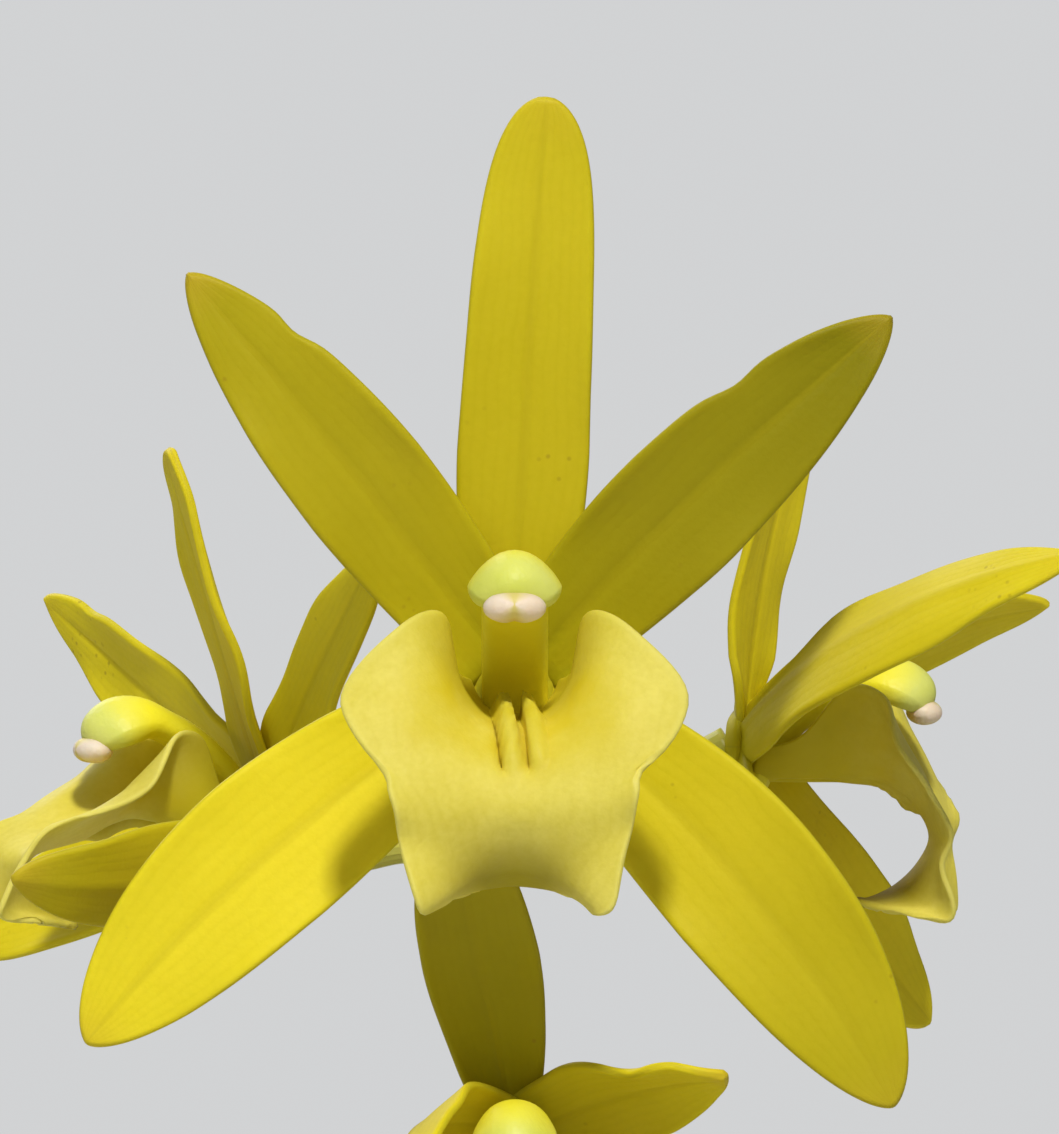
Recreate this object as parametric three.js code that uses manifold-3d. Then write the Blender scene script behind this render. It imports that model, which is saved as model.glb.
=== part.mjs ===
// Potted cymbidium orchid: a clay pot of bark, a clump of pseudobulbs with arching strap
// leaves, and one raceme of eight yellow blooms. Millimetres, +Z up, origin at the middle of
// the pot's underside, front towards -Y.
import * as THREE from 'three';
import { mergeVertices } from 'three/addons/utils/BufferGeometryUtils.js';
import Module from 'manifold-3d';

const wasm = await Module();
wasm.setup();

// Driving dimensions.
const GAP = 0.3;
const POT = {
  baseRadius: 54, rimRadius: 83, height: 150, wall: 6, floor: 7,
  rimDepth: 30, rimStep: 4, rimFlare: 1, edge: 2, segments: 36,
  drainRadius: 6, drainRing: 30, drains: 3, drainSides: 10,
};
const BARK = {
  level: 132, dome: 5, shoulder: 0.6, segments: 24,
  chips: 28, chipSides: 5, chipMargin: 11, goldenAngle: 2.39996,
  chipTop: [4.5, 7.5], chipFoot: [5, 8.5], chipThick: [5, 8], chipStretch: [1.25, 1, 0.8],
  chipTilt: 0.4, chipTurn: 0.2, chipRaise: 0.5,
};
const MAIN_BLOOM = new THREE.Vector3(0, -68, 570);
const BULB = {
  sides: 10, steps: 7, rib: 0.04, ribs: 6, depth: 14, clearance: 0.4,
  footTurn: 0.13, turnSpan: 0.80, skew: 0.82, fullness: 0.75, leanPower: 1.5,
};
const RHIZOME = { radius: 6, rise: 7, sides: 6, steps: 8 };
const ROOT = { radius: 2.1, taper: 0.5, sides: 5, steps: 6, heights: [-1, 4.5, 3.5, -9] };
const LEAF = {
  middle: 0.75, edge: 0.4, steps: 10, sheathSteps: 2, joint: 0.11, fine: 200, droop: 1.35,
  footRise: 0.62, footWidth: 0.62, fullAt: 0.35, narrowFrom: 0.55, tipWidth: 0.04,
  footFold: 52, openFold: 18, openAt: 0.45,
};
const STEM = { baseRadius: 3.4, tipRadius: 1.5, taper: 1.3, sides: 7, steps: 20 };
const PEDICEL = {
  rachisRadius: 1.15, ovaryRadius: 1.45, sides: 5, steps: 5, drop: 8.5, arch: 3,
  seat: [1.1, -0.8], neck: [6.5, -3.5],
};
const BRACT = {
  length: 34, steps: 3, footReach: 2.4, flare: 2.2, clasp: 80, taper: 0.75, halfThickness: 0.4,
};
const BLADE = {
  middle: 0.5, edge: 0.35, steps: 6, fine: 160, footDistance: 1.2, turnReach: 0.2, tipHalf: 0.7,
  crowding: 1.5,
};
const HUB = { radius: 3.6, front: 0.8, back: 1.2, waist: -0.2, backShare: 0.6, frontShare: 0.8, sides: 8 };
const LIP_HALF_THICKNESS = 0.42;
const COLUMN = {
  footWide: 2.3, growWide: 0.95, footDeep: 1.45, growDeep: 0.35, endWide: 0.86, endDeep: 0.8,
  sides: 8, steps: 5,
};
const CAP = {
  middle: [4.0, 15.9], halfWide: 2.15, halfTall: 1.5, halfDeep: 1.3, lobe: 0.12, sides: 8,
  rings: [-0.86, -0.3, 0.35, 0.9],
};

const COLOURS = {
  clay: { color: 0xa9623f, roughness: 0.85 },
  bark: { color: 0x5d4029, roughness: 0.95 },
  bulb: { color: 0x6f8a3a, roughness: 0.6 },
  leaf: { color: 0x3f6b25, roughness: 0.5 },
  stem: { color: 0x7d8f37, roughness: 0.55 },
  petal: { color: 0xd2bd2c, roughness: 0.5 },
  lip: { color: 0xe3cf55, roughness: 0.5 },
  column: { color: 0xd9d66a, roughness: 0.45 },
  cap: { color: 0xe8d7b0, roughness: 0.5 },
};
const material = Object.fromEntries(Object.entries(COLOURS).map(
  ([name, finish]) => [name, new THREE.MeshStandardMaterial({ ...finish, metalness: 0 })],
));

const MERGE_DISTANCE = 1e-4;
const UP = new THREE.Vector3(0, 0, 1);
const radians = THREE.MathUtils.degToRad;
const vector = (x, y, z) => new THREE.Vector3(x, y, z);
const plant = new THREE.Group();

// A seeded draw between low and high, the same on every run.
function dice(seed) {
  const factor = 16807;
  const size = 2147483647;
  let state = seed;
  return (low, high) => {
    state = (state * factor) % size;
    return low + ((high - low) * state) / size;
  };
}

function put(group, name, geometry, finish) {
  const mesh = new THREE.Mesh(geometry, finish);
  mesh.name = name;
  group.add(mesh);
}

// Solids and joins.
function closed(points, faces) {
  const geometry = new THREE.BufferGeometry();
  const places = points.flatMap((p) => [p.x, p.y, p.z]);
  geometry.setAttribute('position', new THREE.Float32BufferAttribute(places, 3));
  geometry.setIndex(faces.flat());
  return geometry;
}

function solid(geometry) {
  const bare = geometry.clone();
  bare.deleteAttribute('normal');
  bare.deleteAttribute('uv');
  const merged = mergeVertices(bare, MERGE_DISTANCE);
  return new wasm.Manifold(new wasm.Mesh({
    numProp: 3,
    vertProperties: new Float32Array(merged.attributes.position.array),
    triVerts: new Uint32Array(merged.index.array),
  }));
}

function joined(geometries) {
  return geometries.map(solid).reduce((whole, piece) => whole.add(piece));
}

function surface(manifold) {
  const mesh = manifold.getMesh();
  const geometry = new THREE.BufferGeometry();
  const places = new Float32Array((mesh.vertProperties.length / mesh.numProp) * 3);
  for (let i = 0; i < places.length / 3; i += 1) {
    places.set(mesh.vertProperties.subarray(i * mesh.numProp, i * mesh.numProp + 3), i * 3);
  }
  geometry.setAttribute('position', new THREE.BufferAttribute(places, 3));
  geometry.setIndex(new THREE.BufferAttribute(new Uint32Array(mesh.triVerts), 1));
  return geometry;
}

// A geometry turned up about a level axis through its foot, by degrees.
function pitched(geometry, foot, degrees) {
  return geometry.translate(-foot.x, -foot.y, -foot.z)
    .rotateX(-radians(degrees))
    .translate(foot.x, foot.y, foot.z);
}

// A thin curved sheet with two skins over one net of points. Both skins are split along the
// same diagonals, so they keep their distance where the sheet waves.
function sheet(net, normals, halfThickness) {
  const rows = net.length;
  const columns = net[0].length;
  const points = [];
  for (const side of [1, -1]) {
    net.forEach((row, i) => row.forEach((p, j) => {
      points.push(p.clone().addScaledVector(normals[i][j], side * halfThickness(i, j)));
    }));
  }
  const at = (skin, i, j) => skin * rows * columns + i * columns + j;
  const faces = [];
  for (let i = 0; i < rows - 1; i += 1) {
    for (let j = 0; j < columns - 1; j += 1) {
      for (const skin of [0, 1]) {
        const a = at(skin, i, j);
        const b = at(skin, i, j + 1);
        const c = at(skin, i + 1, j + 1);
        const d = at(skin, i + 1, j);
        faces.push(...(skin === 0 ? [[a, b, c], [a, c, d]] : [[a, c, b], [a, d, c]]));
      }
    }
  }
  const rim = [];
  for (let j = 0; j < columns - 1; j += 1) rim.push([0, j]);
  for (let i = 0; i < rows - 1; i += 1) rim.push([i, columns - 1]);
  for (let j = columns - 1; j > 0; j -= 1) rim.push([rows - 1, j]);
  for (let i = rows - 1; i > 0; i -= 1) rim.push([i, 0]);
  rim.forEach(([i, j], k) => {
    const [m, n] = rim[(k + 1) % rim.length];
    faces.push([at(0, i, j), at(1, m, n), at(0, m, n)], [at(0, i, j), at(1, i, j), at(1, m, n)]);
  });
  return closed(points, faces);
}

// Unit normals of a net: the cross product of its two grid directions.
function netNormals(net) {
  const lastRow = net.length - 1;
  const lastColumn = net[0].length - 1;
  return net.map((row, i) => row.map((_, j) => {
    const along = net[Math.min(i + 1, lastRow)][j].clone().sub(net[Math.max(i - 1, 0)][j]);
    const across = row[Math.min(j + 1, lastColumn)].clone().sub(row[Math.max(j - 1, 0)]);
    return across.cross(along).normalize();
  }));
}

// Points of a ring: place(angle) at even steps of a full turn.
function ring(sides, place) {
  return Array.from({ length: sides }, (_, k) => place((2 * Math.PI * k) / sides));
}

// A closed skin through rings of points, each ring wound the same way about the path.
function loft(rings) {
  const count = rings[0].length;
  const faces = [];
  for (let i = 0; i < rings.length - 1; i += 1) {
    for (let k = 0; k < count; k += 1) {
      const a = i * count + k;
      const b = i * count + ((k + 1) % count);
      faces.push([a, b, b + count], [a, b + count, a + count]);
    }
  }
  const last = (rings.length - 1) * count;
  for (let k = 1; k < count - 1; k += 1) {
    faces.push([0, k + 1, k], [last, last + k, last + k + 1]);
  }
  return closed(rings.flat(), faces);
}

// A round tube along a curve, its radius a function of the share of the length.
function tube(curve, radius, sides, steps) {
  const frames = curve.computeFrenetFrames(steps, false);
  const rings = [];
  for (let i = 0; i <= steps; i += 1) {
    const middle = curve.getPointAt(i / steps);
    const reach = radius(i / steps);
    rings.push(ring(sides, (angle) => middle.clone()
      .addScaledVector(frames.normals[i], reach * Math.cos(angle))
      .addScaledVector(frames.binormals[i], reach * Math.sin(angle))));
  }
  return loft(rings);
}

// The pot: a tapered wall with a flared rim collar, a thick floor and drain holes off centre.
const RIM_BOTTOM = POT.height - POT.rimDepth;
const POT_SLOPE = (POT.rimRadius - POT.rimStep - POT.baseRadius) / RIM_BOTTOM;
const potInnerRadius = (z) => POT.baseRadius - POT.wall + POT_SLOPE * z;

function potGeometry() {
  const { baseRadius, rimRadius, rimFlare, height, floor, edge } = POT;
  const profile = [
    [0, 0], [baseRadius - edge, 0], [baseRadius, edge],
    [baseRadius + POT_SLOPE * RIM_BOTTOM, RIM_BOTTOM], [rimRadius - rimFlare, RIM_BOTTOM],
    [rimRadius, RIM_BOTTOM + edge], [rimRadius + rimFlare, height - edge],
    [rimRadius - rimFlare, height], [potInnerRadius(height) + edge, height],
    [potInnerRadius(height), height - edge], [potInnerRadius(floor), floor], [0, floor],
  ].map(([r, z]) => new THREE.Vector2(r, z));
  const body = new THREE.LatheGeometry(profile, POT.segments).rotateX(Math.PI / 2);
  const drill = new THREE.CylinderGeometry(POT.drainRadius, POT.drainRadius, 3 * floor, POT.drainSides)
    .rotateX(Math.PI / 2);
  let pot = solid(body);
  for (let k = 0; k < POT.drains; k += 1) {
    const angle = (2 * Math.PI * (k + 0.5)) / POT.drains;
    const x = POT.drainRing * Math.cos(angle);
    const y = POT.drainRing * Math.sin(angle);
    pot = pot.subtract(solid(drill.clone().translate(x, y, floor / 2)));
  }
  return surface(pot);
}

// Pseudobulbs: egg-shaped, a little flattened, with shallow ribs, sunk in the bark.
// foot is the middle of the base, lean the sideways run of the axis at the top.
const BULBS = [
  { foot: [-34, 12], lean: [-9, 2], height: 66, wide: 19, deep: 15, turn: 20 },
  { foot: [0, 27], lean: [0, 7], height: 72, wide: 20, deep: 15, turn: -12 },
  { foot: [34, 9], lean: [9, 1], height: 64, wide: 18, deep: 15, turn: -35 },
  { foot: [-12, -18], lean: [-5, -4], height: 46, wide: 16, deep: 13, turn: 8 },
];
const BULB_FOOT_Z = BARK.level - BULB.depth;

// Middle of a bulb at a share of its height.
function bulbAxis(bulb, share) {
  const run = share ** BULB.leanPower;
  return vector(
    bulb.foot[0] + bulb.lean[0] * run,
    bulb.foot[1] + bulb.lean[1] * run,
    BULB_FOOT_Z + share * bulb.height,
  );
}

function bulbPoint(bulb, share, angle, grow) {
  const swell = Math.sin(Math.PI * (BULB.footTurn + BULB.turnSpan * share ** BULB.skew)) ** BULB.fullness;
  const rib = 1 + BULB.rib * Math.cos(BULB.ribs * angle);
  const across = vector(
    (bulb.wide * swell * rib + grow) * Math.cos(angle),
    (bulb.deep * swell * rib + grow) * Math.sin(angle),
    (2 * share - 1) * grow,
  );
  return across.applyAxisAngle(UP, radians(bulb.turn)).add(bulbAxis(bulb, share));
}

function bulbGeometry(bulb, grow) {
  const rings = [];
  for (let i = 0; i <= BULB.steps; i += 1) {
    rings.push(ring(BULB.sides, (angle) => bulbPoint(bulb, i / BULB.steps, angle, grow)));
  }
  return loft(rings);
}

// Creeping rhizome that joins the bulbs, and stout roots that run over the bark.
const RHIZOME_ROUTE = [[-36, 12], [-12, -18], [0, 26], [34, 9]];
const ROOT_ROUTES = [
  [[-16, -26], [-27, -38], [-40, -44], [-50, -38]],
  [[36, -2], [43, -16], [42, -32], [34, -42]],
  [[-44, 22], [-50, 34], [-44, 48], [-30, 54]],
];

function rhizomeGeometry(grow) {
  const points = RHIZOME_ROUTE.map(([x, y]) => vector(x, y, BULB_FOOT_Z + RHIZOME.rise));
  const path = new THREE.CatmullRomCurve3(points);
  return tube(path, () => RHIZOME.radius + grow, RHIZOME.sides, RHIZOME.steps);
}

function rootGeometry(route, grow) {
  const points = route.map(([x, y], i) => vector(x, y, BARK.level + ROOT.heights[i]));
  const path = new THREE.CatmullRomCurve3(points);
  return tube(path, (share) => ROOT.radius - ROOT.taper * share + grow, ROOT.sides, ROOT.steps);
}

function clumpSolid(grow) {
  return joined([
    ...BULBS.map((bulb) => bulbGeometry(bulb, grow)),
    rhizomeGeometry(grow),
    ...ROOT_ROUTES.map((route) => rootGeometry(route, grow)),
  ]);
}

// Strap leaves. Each one rises from a bulb's shoulder and arches over; the lowest part is a
// sheath that stays on the bulb, and the blade joins it at a cleft.
// side is the heading of the arch, out the distance of the root from the bulb's axis.
const LEAVES = [
  { bulb: 0, side: 180, out: 11, rise: 0.17, length: 345, start: 81, end: -56, width: 16 },
  { bulb: 0, side: 206, out: 12, rise: 0.08, length: 300, start: 70, end: -66, width: 15 },
  { bulb: 0, side: 146, out: 11, rise: 0.22, length: 370, start: 84, end: -30, width: 17 },
  { bulb: 0, side: 236, out: 12, rise: 0.04, length: 235, start: 60, end: -66, width: 14 },
  { bulb: 0, side: 108, out: 11, rise: 0.14, length: 340, start: 77, end: -50, width: 16 },
  { bulb: 1, side: 90, out: 11, rise: 0.12, length: 345, start: 76, end: -54, width: 16 },
  { bulb: 1, side: 124, out: 11, rise: 0.24, length: 375, start: 85, end: -26, width: 17 },
  { bulb: 1, side: 62, out: 11, rise: 0.24, length: 365, start: 85, end: -34, width: 17 },
  { bulb: 1, side: 172, out: 11, rise: 0.30, length: 330, start: 87, end: 12, width: 16 },
  { bulb: 1, side: 14, out: 11, rise: 0.30, length: 310, start: 87, end: 18, width: 16 },
  { bulb: 2, side: 2, out: 11, rise: 0.18, length: 350, start: 81, end: -58, width: 16 },
  { bulb: 2, side: -28, out: 12, rise: 0.08, length: 295, start: 68, end: -68, width: 15 },
  { bulb: 2, side: 34, out: 11, rise: 0.22, length: 375, start: 83, end: -28, width: 17 },
  { bulb: 2, side: -60, out: 12, rise: 0.04, length: 225, start: 58, end: -68, width: 14 },
  { bulb: 2, side: 66, out: 11, rise: 0.12, length: 325, start: 74, end: -56, width: 16 },
];

// The midrib is the running sum of a direction whose slope falls from start to end.
function leafMidrib(leaf, out) {
  const root = bulbAxis(BULBS[leaf.bulb], LEAF.footRise + leaf.rise).addScaledVector(out, leaf.out);
  const step = leaf.length / LEAF.fine;
  const path = [root];
  const slopes = [radians(leaf.start)];
  for (let i = 0; i < LEAF.fine; i += 1) {
    const slope = radians(leaf.start + (leaf.end - leaf.start) * (i / LEAF.fine) ** LEAF.droop);
    slopes.push(slope);
    path.push(path[i].clone()
      .addScaledVector(out, Math.cos(slope) * step)
      .addScaledVector(UP, Math.sin(slope) * step));
  }
  return { path, slopes };
}

// Half width of a leaf at a share of its length: it swells from the foot and narrows to a point.
function leafHalfWidth(leaf, t) {
  const grow = (1 - LEAF.footWidth) * Math.sin((Math.PI / 2) * Math.min(t / LEAF.fullAt, 1));
  const past = Math.max((t - LEAF.narrowFrom) / (1 - LEAF.narrowFrom), 0);
  return (leaf.width / 2) * (LEAF.footWidth + grow) * Math.max(1 - past ** 2, LEAF.tipWidth);
}

// A leaf from share `from` to `to` of its length: its two halves rise from the midrib in a V
// that opens away from the foot.
function leafSheet(leaf, from, to, steps) {
  const heading = radians(leaf.side);
  const out = vector(Math.cos(heading), Math.sin(heading), 0);
  const side = vector(-out.y, out.x, 0);
  const { path, slopes } = leafMidrib(leaf, out);
  const net = [];
  const normals = [];
  for (let i = 0; i <= steps; i += 1) {
    const t = from + ((to - from) * i) / steps;
    const whole = Math.min(Math.floor(t * LEAF.fine), LEAF.fine - 1);
    const part = t * LEAF.fine - whole;
    const middle = path[whole].clone().lerp(path[whole + 1], part);
    const slope = THREE.MathUtils.lerp(slopes[whole], slopes[whole + 1], part);
    const up = out.clone().multiplyScalar(-Math.sin(slope)).addScaledVector(UP, Math.cos(slope));
    const half = leafHalfWidth(leaf, t);
    const open = Math.min(t / LEAF.openAt, 1);
    const fold = radians(THREE.MathUtils.lerp(LEAF.footFold, LEAF.openFold, open));
    const edge = (s) => middle.clone()
      .addScaledVector(side, s * half * Math.cos(fold))
      .addScaledVector(up, half * Math.sin(fold));
    const lean = (s) => up.clone().multiplyScalar(Math.cos(fold)).addScaledVector(side, -s * Math.sin(fold));
    net.push([edge(1), middle, edge(-1)]);
    normals.push([lean(1), up, lean(-1)]);
  }
  return sheet(net, normals, (_, j) => (j === 1 ? LEAF.middle : LEAF.edge));
}

const leafBlade = (leaf) => leafSheet(leaf, LEAF.joint + GAP / leaf.length, 1, LEAF.steps);
const leafSheath = (leaf) => leafSheet(leaf, 0, LEAF.joint, LEAF.sheathSteps);

// The flower stem: a peduncle from the foot of a bulb, gently arched to the front, then the
// rachis that carries the blooms.
const STEM_ROUTE = [
  [14, -30, 118], [14, -32, 150], [11, -38, 230], [7, -44, 320], [3, -47, 400],
  [0, -46, 460], [-2, -44, 510], [-2, -43.5, 545], [-1.5, -43, 572],
].map(([x, y, z]) => vector(x, y, z));
const stemPath = new THREE.CatmullRomCurve3(STEM_ROUTE);
const stemRadius = (share) => THREE.MathUtils.lerp(STEM.baseRadius, STEM.tipRadius, share ** STEM.taper);

// Place of the stem at a height, found by halving.
function stemAt(height) {
  const closeness = 1e-5;
  let low = 0;
  let high = 1;
  while (high - low > closeness) {
    const middle = (low + high) / 2;
    if (stemPath.getPointAt(middle).z < height) low = middle;
    else high = middle;
  }
  return stemPath.getPointAt(low);
}

// Outlines of the kinds of blade. base is the width share at the foot, widest the place
// of the full width, fall the loss past it, tip and round the powers that round off the end,
// and cup the depth of the trough across the blade.
const SHAPES = {
  dorsal: { base: 0.62, widest: 0.38, fall: 0.16, tip: 6.0, round: 0.50, cup: 0.10 },
  petal: { base: 0.64, widest: 0.46, fall: 0.12, tip: 2.4, round: 0.70, cup: 0.15 },
  strap: { base: 0.84, widest: 0.46, fall: 0.10, tip: 2.6, round: 0.65, cup: 0.10 },
  sepal: { base: 0.44, widest: 0.52, fall: 0.10, tip: 2.6, round: 0.65, cup: 0.15 },
};

// Each blade has its length, width, angle from upright, forward lift at the foot and at the
// tip, and its bends, in degrees.
function blade(kind, length, width, angle, lift, liftTip, extra = {}) {
  const plain = { bend: 0, turn: 0, twist: 0, wave: 0.35, phase: 0 };
  return { kind, length, width, angle, lift, liftTip, ...plain, ...extra };
}

// Two petals and three sepals of a bloom whose shape isn't fitted one by one.
function plainBlades(seed) {
  const draw = dice(seed);
  return [
    blade('dorsal', 39, 9.5, draw(-3, 3), draw(4, 14), draw(10, 26), { bend: draw(-4, 4) }),
    blade('petal', 36, 9.8, draw(-56, -44), draw(12, 20), draw(16, 34), { phase: draw(0, 180) }),
    blade('petal', 36, 9.8, draw(44, 56), draw(12, 20), draw(16, 34), { phase: draw(0, 180) }),
    blade('sepal', 38, 11.6, draw(-126, -116), draw(10, 18), draw(4, 16), { bend: draw(-18, -8) }),
    blade('sepal', 38, 11.6, draw(116, 126), draw(10, 18), draw(4, 16), { bend: draw(8, 18) }),
  ];
}

// A bloom's own axes are X to its right, Z up and -Y out of its face. at is its place from the
// main bloom, azimuth turns the face to the right and tilt raises it.
function bloomForm(at, azimuth, tilt, scale, blades, extra = {}) {
  return { at, azimuth, tilt, scale, blades, lipPitch: 0, lipScale: 1, columnPitch: 0, ...extra };
}

const BLOOMS = [
  bloomForm([0, 0, 0], 0, 0, 1, [
    blade('dorsal', 40.4, 9.4, 1.5, 4, 8, { bend: 3.3 }),
    blade('petal', 36.4, 9.6, -36.5, 12, 6, { bend: -4.6, phase: 40 }),
    blade('petal', 36.5, 9.9, 42.6, 12, 6, { bend: 6.8, phase: 130 }),
    blade('sepal', 39.0, 11.8, -119.6, 8, 0, { bend: -22 }),
    blade('sepal', 39.8, 11.8, 124.3, 8, 0, { bend: 29 }),
  ], { columnPitch: 9 }),
  bloomForm([16.8, 20, -5.3], 84, -2, 0.90, [
    blade('dorsal', 30, 7.8, 0, 1, 18, { turn: 26 }),
    blade('petal', 42, 9.4, -58, 21, 64, { turn: 10 }),
    blade('petal', 38, 10.0, 64, 18, 66, { turn: -20 }),
    blade('sepal', 27, 10.0, -142, 8, 14),
    blade('sepal', 34, 10.0, 140, 24, 31, { turn: -30 }),
  ], { lipPitch: 6, lipScale: 0.96 }),
  bloomForm([-18.9, 24, -9.4], -64, 8, 0.93, [
    blade('dorsal', 28.5, 8.4, 0, 27, 24, { turn: 8, twist: 3 }),
    blade('petal', 34, 9.0, -65, 14, 18, { turn: 14, bend: 3 }),
    blade('strap', 31, 7.4, 51.5, 10, 4, { turn: -14 }),
    blade('sepal', 35, 9.5, -118, 18, 34),
    blade('sepal', 36, 9.5, 116, 20, 92),
  ], { lipPitch: 10, lipScale: 0.95, columnPitch: 5 }),
  bloomForm([0, 8, -33.4], 0, -20, 0.92, [
    blade('sepal', 30.5, 9.2, -9, 4, 18, { bend: -1 }),
    blade('petal', 25, 9.4, -54, 34, 106),
    blade('petal', 19, 10.0, 58, 10, 36, { bend: 8, twist: -40 }),
    blade('sepal', 36, 11, -130, 8, 0, { bend: -8 }),
    blade('sepal', 36, 11, 130, 8, 0, { bend: 8 }),
  ], { lipPitch: -14, lipScale: 0.9, columnPitch: 8 }),
  bloomForm([14, 40, -75], 125, 0, 0.96, plainBlades(11)),
  bloomForm([-19, 30, -93], -100, -4, 0.97, plainBlades(23)),
  bloomForm([6, 2, -114], 15, -6, 0.98, plainBlades(37)),
  bloomForm([5, 44, -134], 160, -4, 0.98, plainBlades(41)),
];

// Width share along a blade: it swells to its widest, falls a little, then rounds to the tip.
function bladeWidth(t, shape) {
  const grow = shape.base + (1 - shape.base) * Math.sin((Math.PI / 2) * Math.min(t / shape.widest, 1));
  const past = Math.max((t - shape.widest) / (1 - shape.widest), 0);
  return grow * (1 - shape.fall * past) * Math.max(1 - past ** shape.tip, 0) ** shape.round;
}

function bladeDirection(form, t) {
  const angle = radians(form.angle + form.bend * t);
  const lift = radians(THREE.MathUtils.lerp(form.lift, form.liftTip, t));
  return vector(Math.sin(angle) * Math.cos(lift), -Math.sin(lift), Math.cos(angle) * Math.cos(lift));
}

function bladeMidrib(form) {
  const start = radians(form.angle);
  const foot = vector(Math.sin(start), 0, Math.cos(start)).multiplyScalar(BLADE.footDistance);
  const path = [foot];
  for (let i = 0; i < BLADE.fine; i += 1) {
    const along = bladeDirection(form, (i + 0.5) / BLADE.fine);
    path.push(path[i].clone().addScaledVector(along, form.length / BLADE.fine));
  }
  return path;
}

// A sepal or petal as a cupped sheet. The midrib is the running sum of a direction that turns
// from angle to angle + bend and lifts from lift to liftTip; across it the sheet is a shallow
// trough rolled about the midrib, and its edges wave.
function bladeGeometry(form) {
  const shape = SHAPES[form.kind];
  const path = bladeMidrib(form);
  const net = [];
  const normals = [];
  for (let i = 0; i <= BLADE.steps; i += 1) {
    const t = 1 - (1 - i / BLADE.steps) ** BLADE.crowding;
    const angle = radians(form.angle + form.bend * t);
    const flatSide = vector(Math.cos(angle), 0, -Math.sin(angle));
    const flatNormal = flatSide.clone().cross(bladeDirection(form, t));
    const roll = radians((form.turn + form.twist * t) * Math.min(t / BLADE.turnReach, 1));
    const [lean, rise] = [Math.cos(roll), Math.sin(roll)];
    const side = flatSide.clone().multiplyScalar(lean).addScaledVector(flatNormal, rise);
    const normal = flatNormal.clone().multiplyScalar(lean).addScaledVector(flatSide, -rise);
    const half = Math.max((form.width / 2) * bladeWidth(t, shape), BLADE.tipHalf);
    const middle = path[Math.round(t * BLADE.fine)];
    const wave = i < BLADE.steps ? form.wave * Math.sin(radians(form.phase) + 4 * Math.PI * t) : 0;
    net.push([-1, 0, 1].map((s) => middle.clone()
      .addScaledVector(side, half * s)
      .addScaledVector(normal, shape.cup * half * s * s + wave * Math.abs(s))));
    normals.push([-1, 0, 1].map((s) => normal.clone().addScaledVector(side, -2 * shape.cup * s).normalize()));
  }
  return sheet(net, normals, (_, j) => (j === 1 ? BLADE.middle : BLADE.edge));
}

function hubGeometry() {
  const { radius, front, back, waist, backShare, frontShare } = HUB;
  const profile = [
    [0, -back], [radius * backShare, -back], [radius, waist], [radius * frontShare, front], [0, front],
  ].map(([r, z]) => new THREE.Vector2(r, z));
  return new THREE.LatheGeometry(profile, HUB.sides).rotateX(Math.PI);
}

function tepalGeometry(bloom) {
  return surface(joined([hubGeometry(), ...bloom.blades.map(bladeGeometry)]));
}

// The lip: stations from its foot in the throat, over the side lobes that stand up as ears, to
// the midlobe that curls under; each is half a row from the middle to the edge, as distance to
// the side, height and distance out of the face.
const LIP_STATIONS = [
  [[0, -2.5, 2.0], [1.7, -2.2, 2.0], [3.1, -0.7, 2.5], [3.5, 1.3, 3.5]],
  [[0, -2.8, 5.0], [2.6, -2.3, 5.0], [4.1, 0.2, 5.2], [4.6, 3.3, 5.8]],
  [[0, -3.1, 9.0], [2.8, -2.5, 9.2], [4.4, 0.8, 9.6], [5.0, 4.7, 9.9]],
  [[0, -3.6, 12.4], [3.2, -2.7, 12.8], [5.8, 0.8, 13.2], [8.2, 4.0, 13.2]],
  [[0, -5.8, 15.1], [4.0, -4.8, 15.5], [8.2, -1.8, 15.4], [12.0, -1.0, 14.6]],
  [[0, -8.5, 16.3], [3.6, -8.0, 16.6], [6.7, -7.3, 17.2], [8.8, -6.9, 18.0]],
  [[0, -11.2, 16.1], [3.6, -11.0, 16.4], [6.2, -10.8, 16.8], [7.9, -10.6, 17.3]],
  [[0, -12.9, 14.7], [3.0, -13.5, 15.4], [5.0, -14.3, 16.4], [6.3, -15.1, 17.4]],
  [[0, -13.6, 12.3], [2.2, -13.9, 12.6], [3.8, -14.3, 13.1], [4.7, -14.8, 13.8]],
  [[0, -13.6, 9.8], [0.9, -13.7, 9.8], [1.7, -13.9, 10.1], [2.3, -14.2, 10.6]],
];

// Two pale keels run down the throat, on either side of its middle: their rise at each station.
const KEEL_RISE = [0, 0.5, 0.7, 0.7, 0.5];

function lipGeometry(bloom) {
  const net = LIP_STATIONS.map((row) => {
    const right = row.map(([x, z, out]) => vector(x, -out, z));
    const left = row.slice(1).reverse().map(([x, z, out]) => vector(-x, -out, z));
    return [...left, ...right];
  });
  const normals = netNormals(net);
  const middle = (net[0].length - 1) / 2;
  const keel = (i, j) => (Math.abs(j - middle) === 1 ? (KEEL_RISE[i] ?? 0) / 2 : 0);
  net.forEach((row, i) => row.forEach((p, j) => p.addScaledVector(normals[i][j], keel(i, j))));
  const foot = net[0][middle];
  const lip = sheet(net, normals, (i, j) => LIP_HALF_THICKNESS + keel(i, j))
    .translate(-foot.x, -foot.y, -foot.z)
    .scale(bloom.lipScale, bloom.lipScale, bloom.lipScale)
    .translate(foot.x, foot.y, foot.z);
  return pitched(lip, foot, bloom.lipPitch);
}

// The column: an arched rod over the lip, domed at its end, with the anther cap under the
// dome. Its route is given as height and distance out of the face.
const COLUMN_ROUTE = [[-0.2, 2.6], [2.1, 4.5], [4.7, 7.8], [6.1, 11.2], [5.7, 14.2]]
  .map(([z, out]) => vector(0, -out, z));

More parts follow.
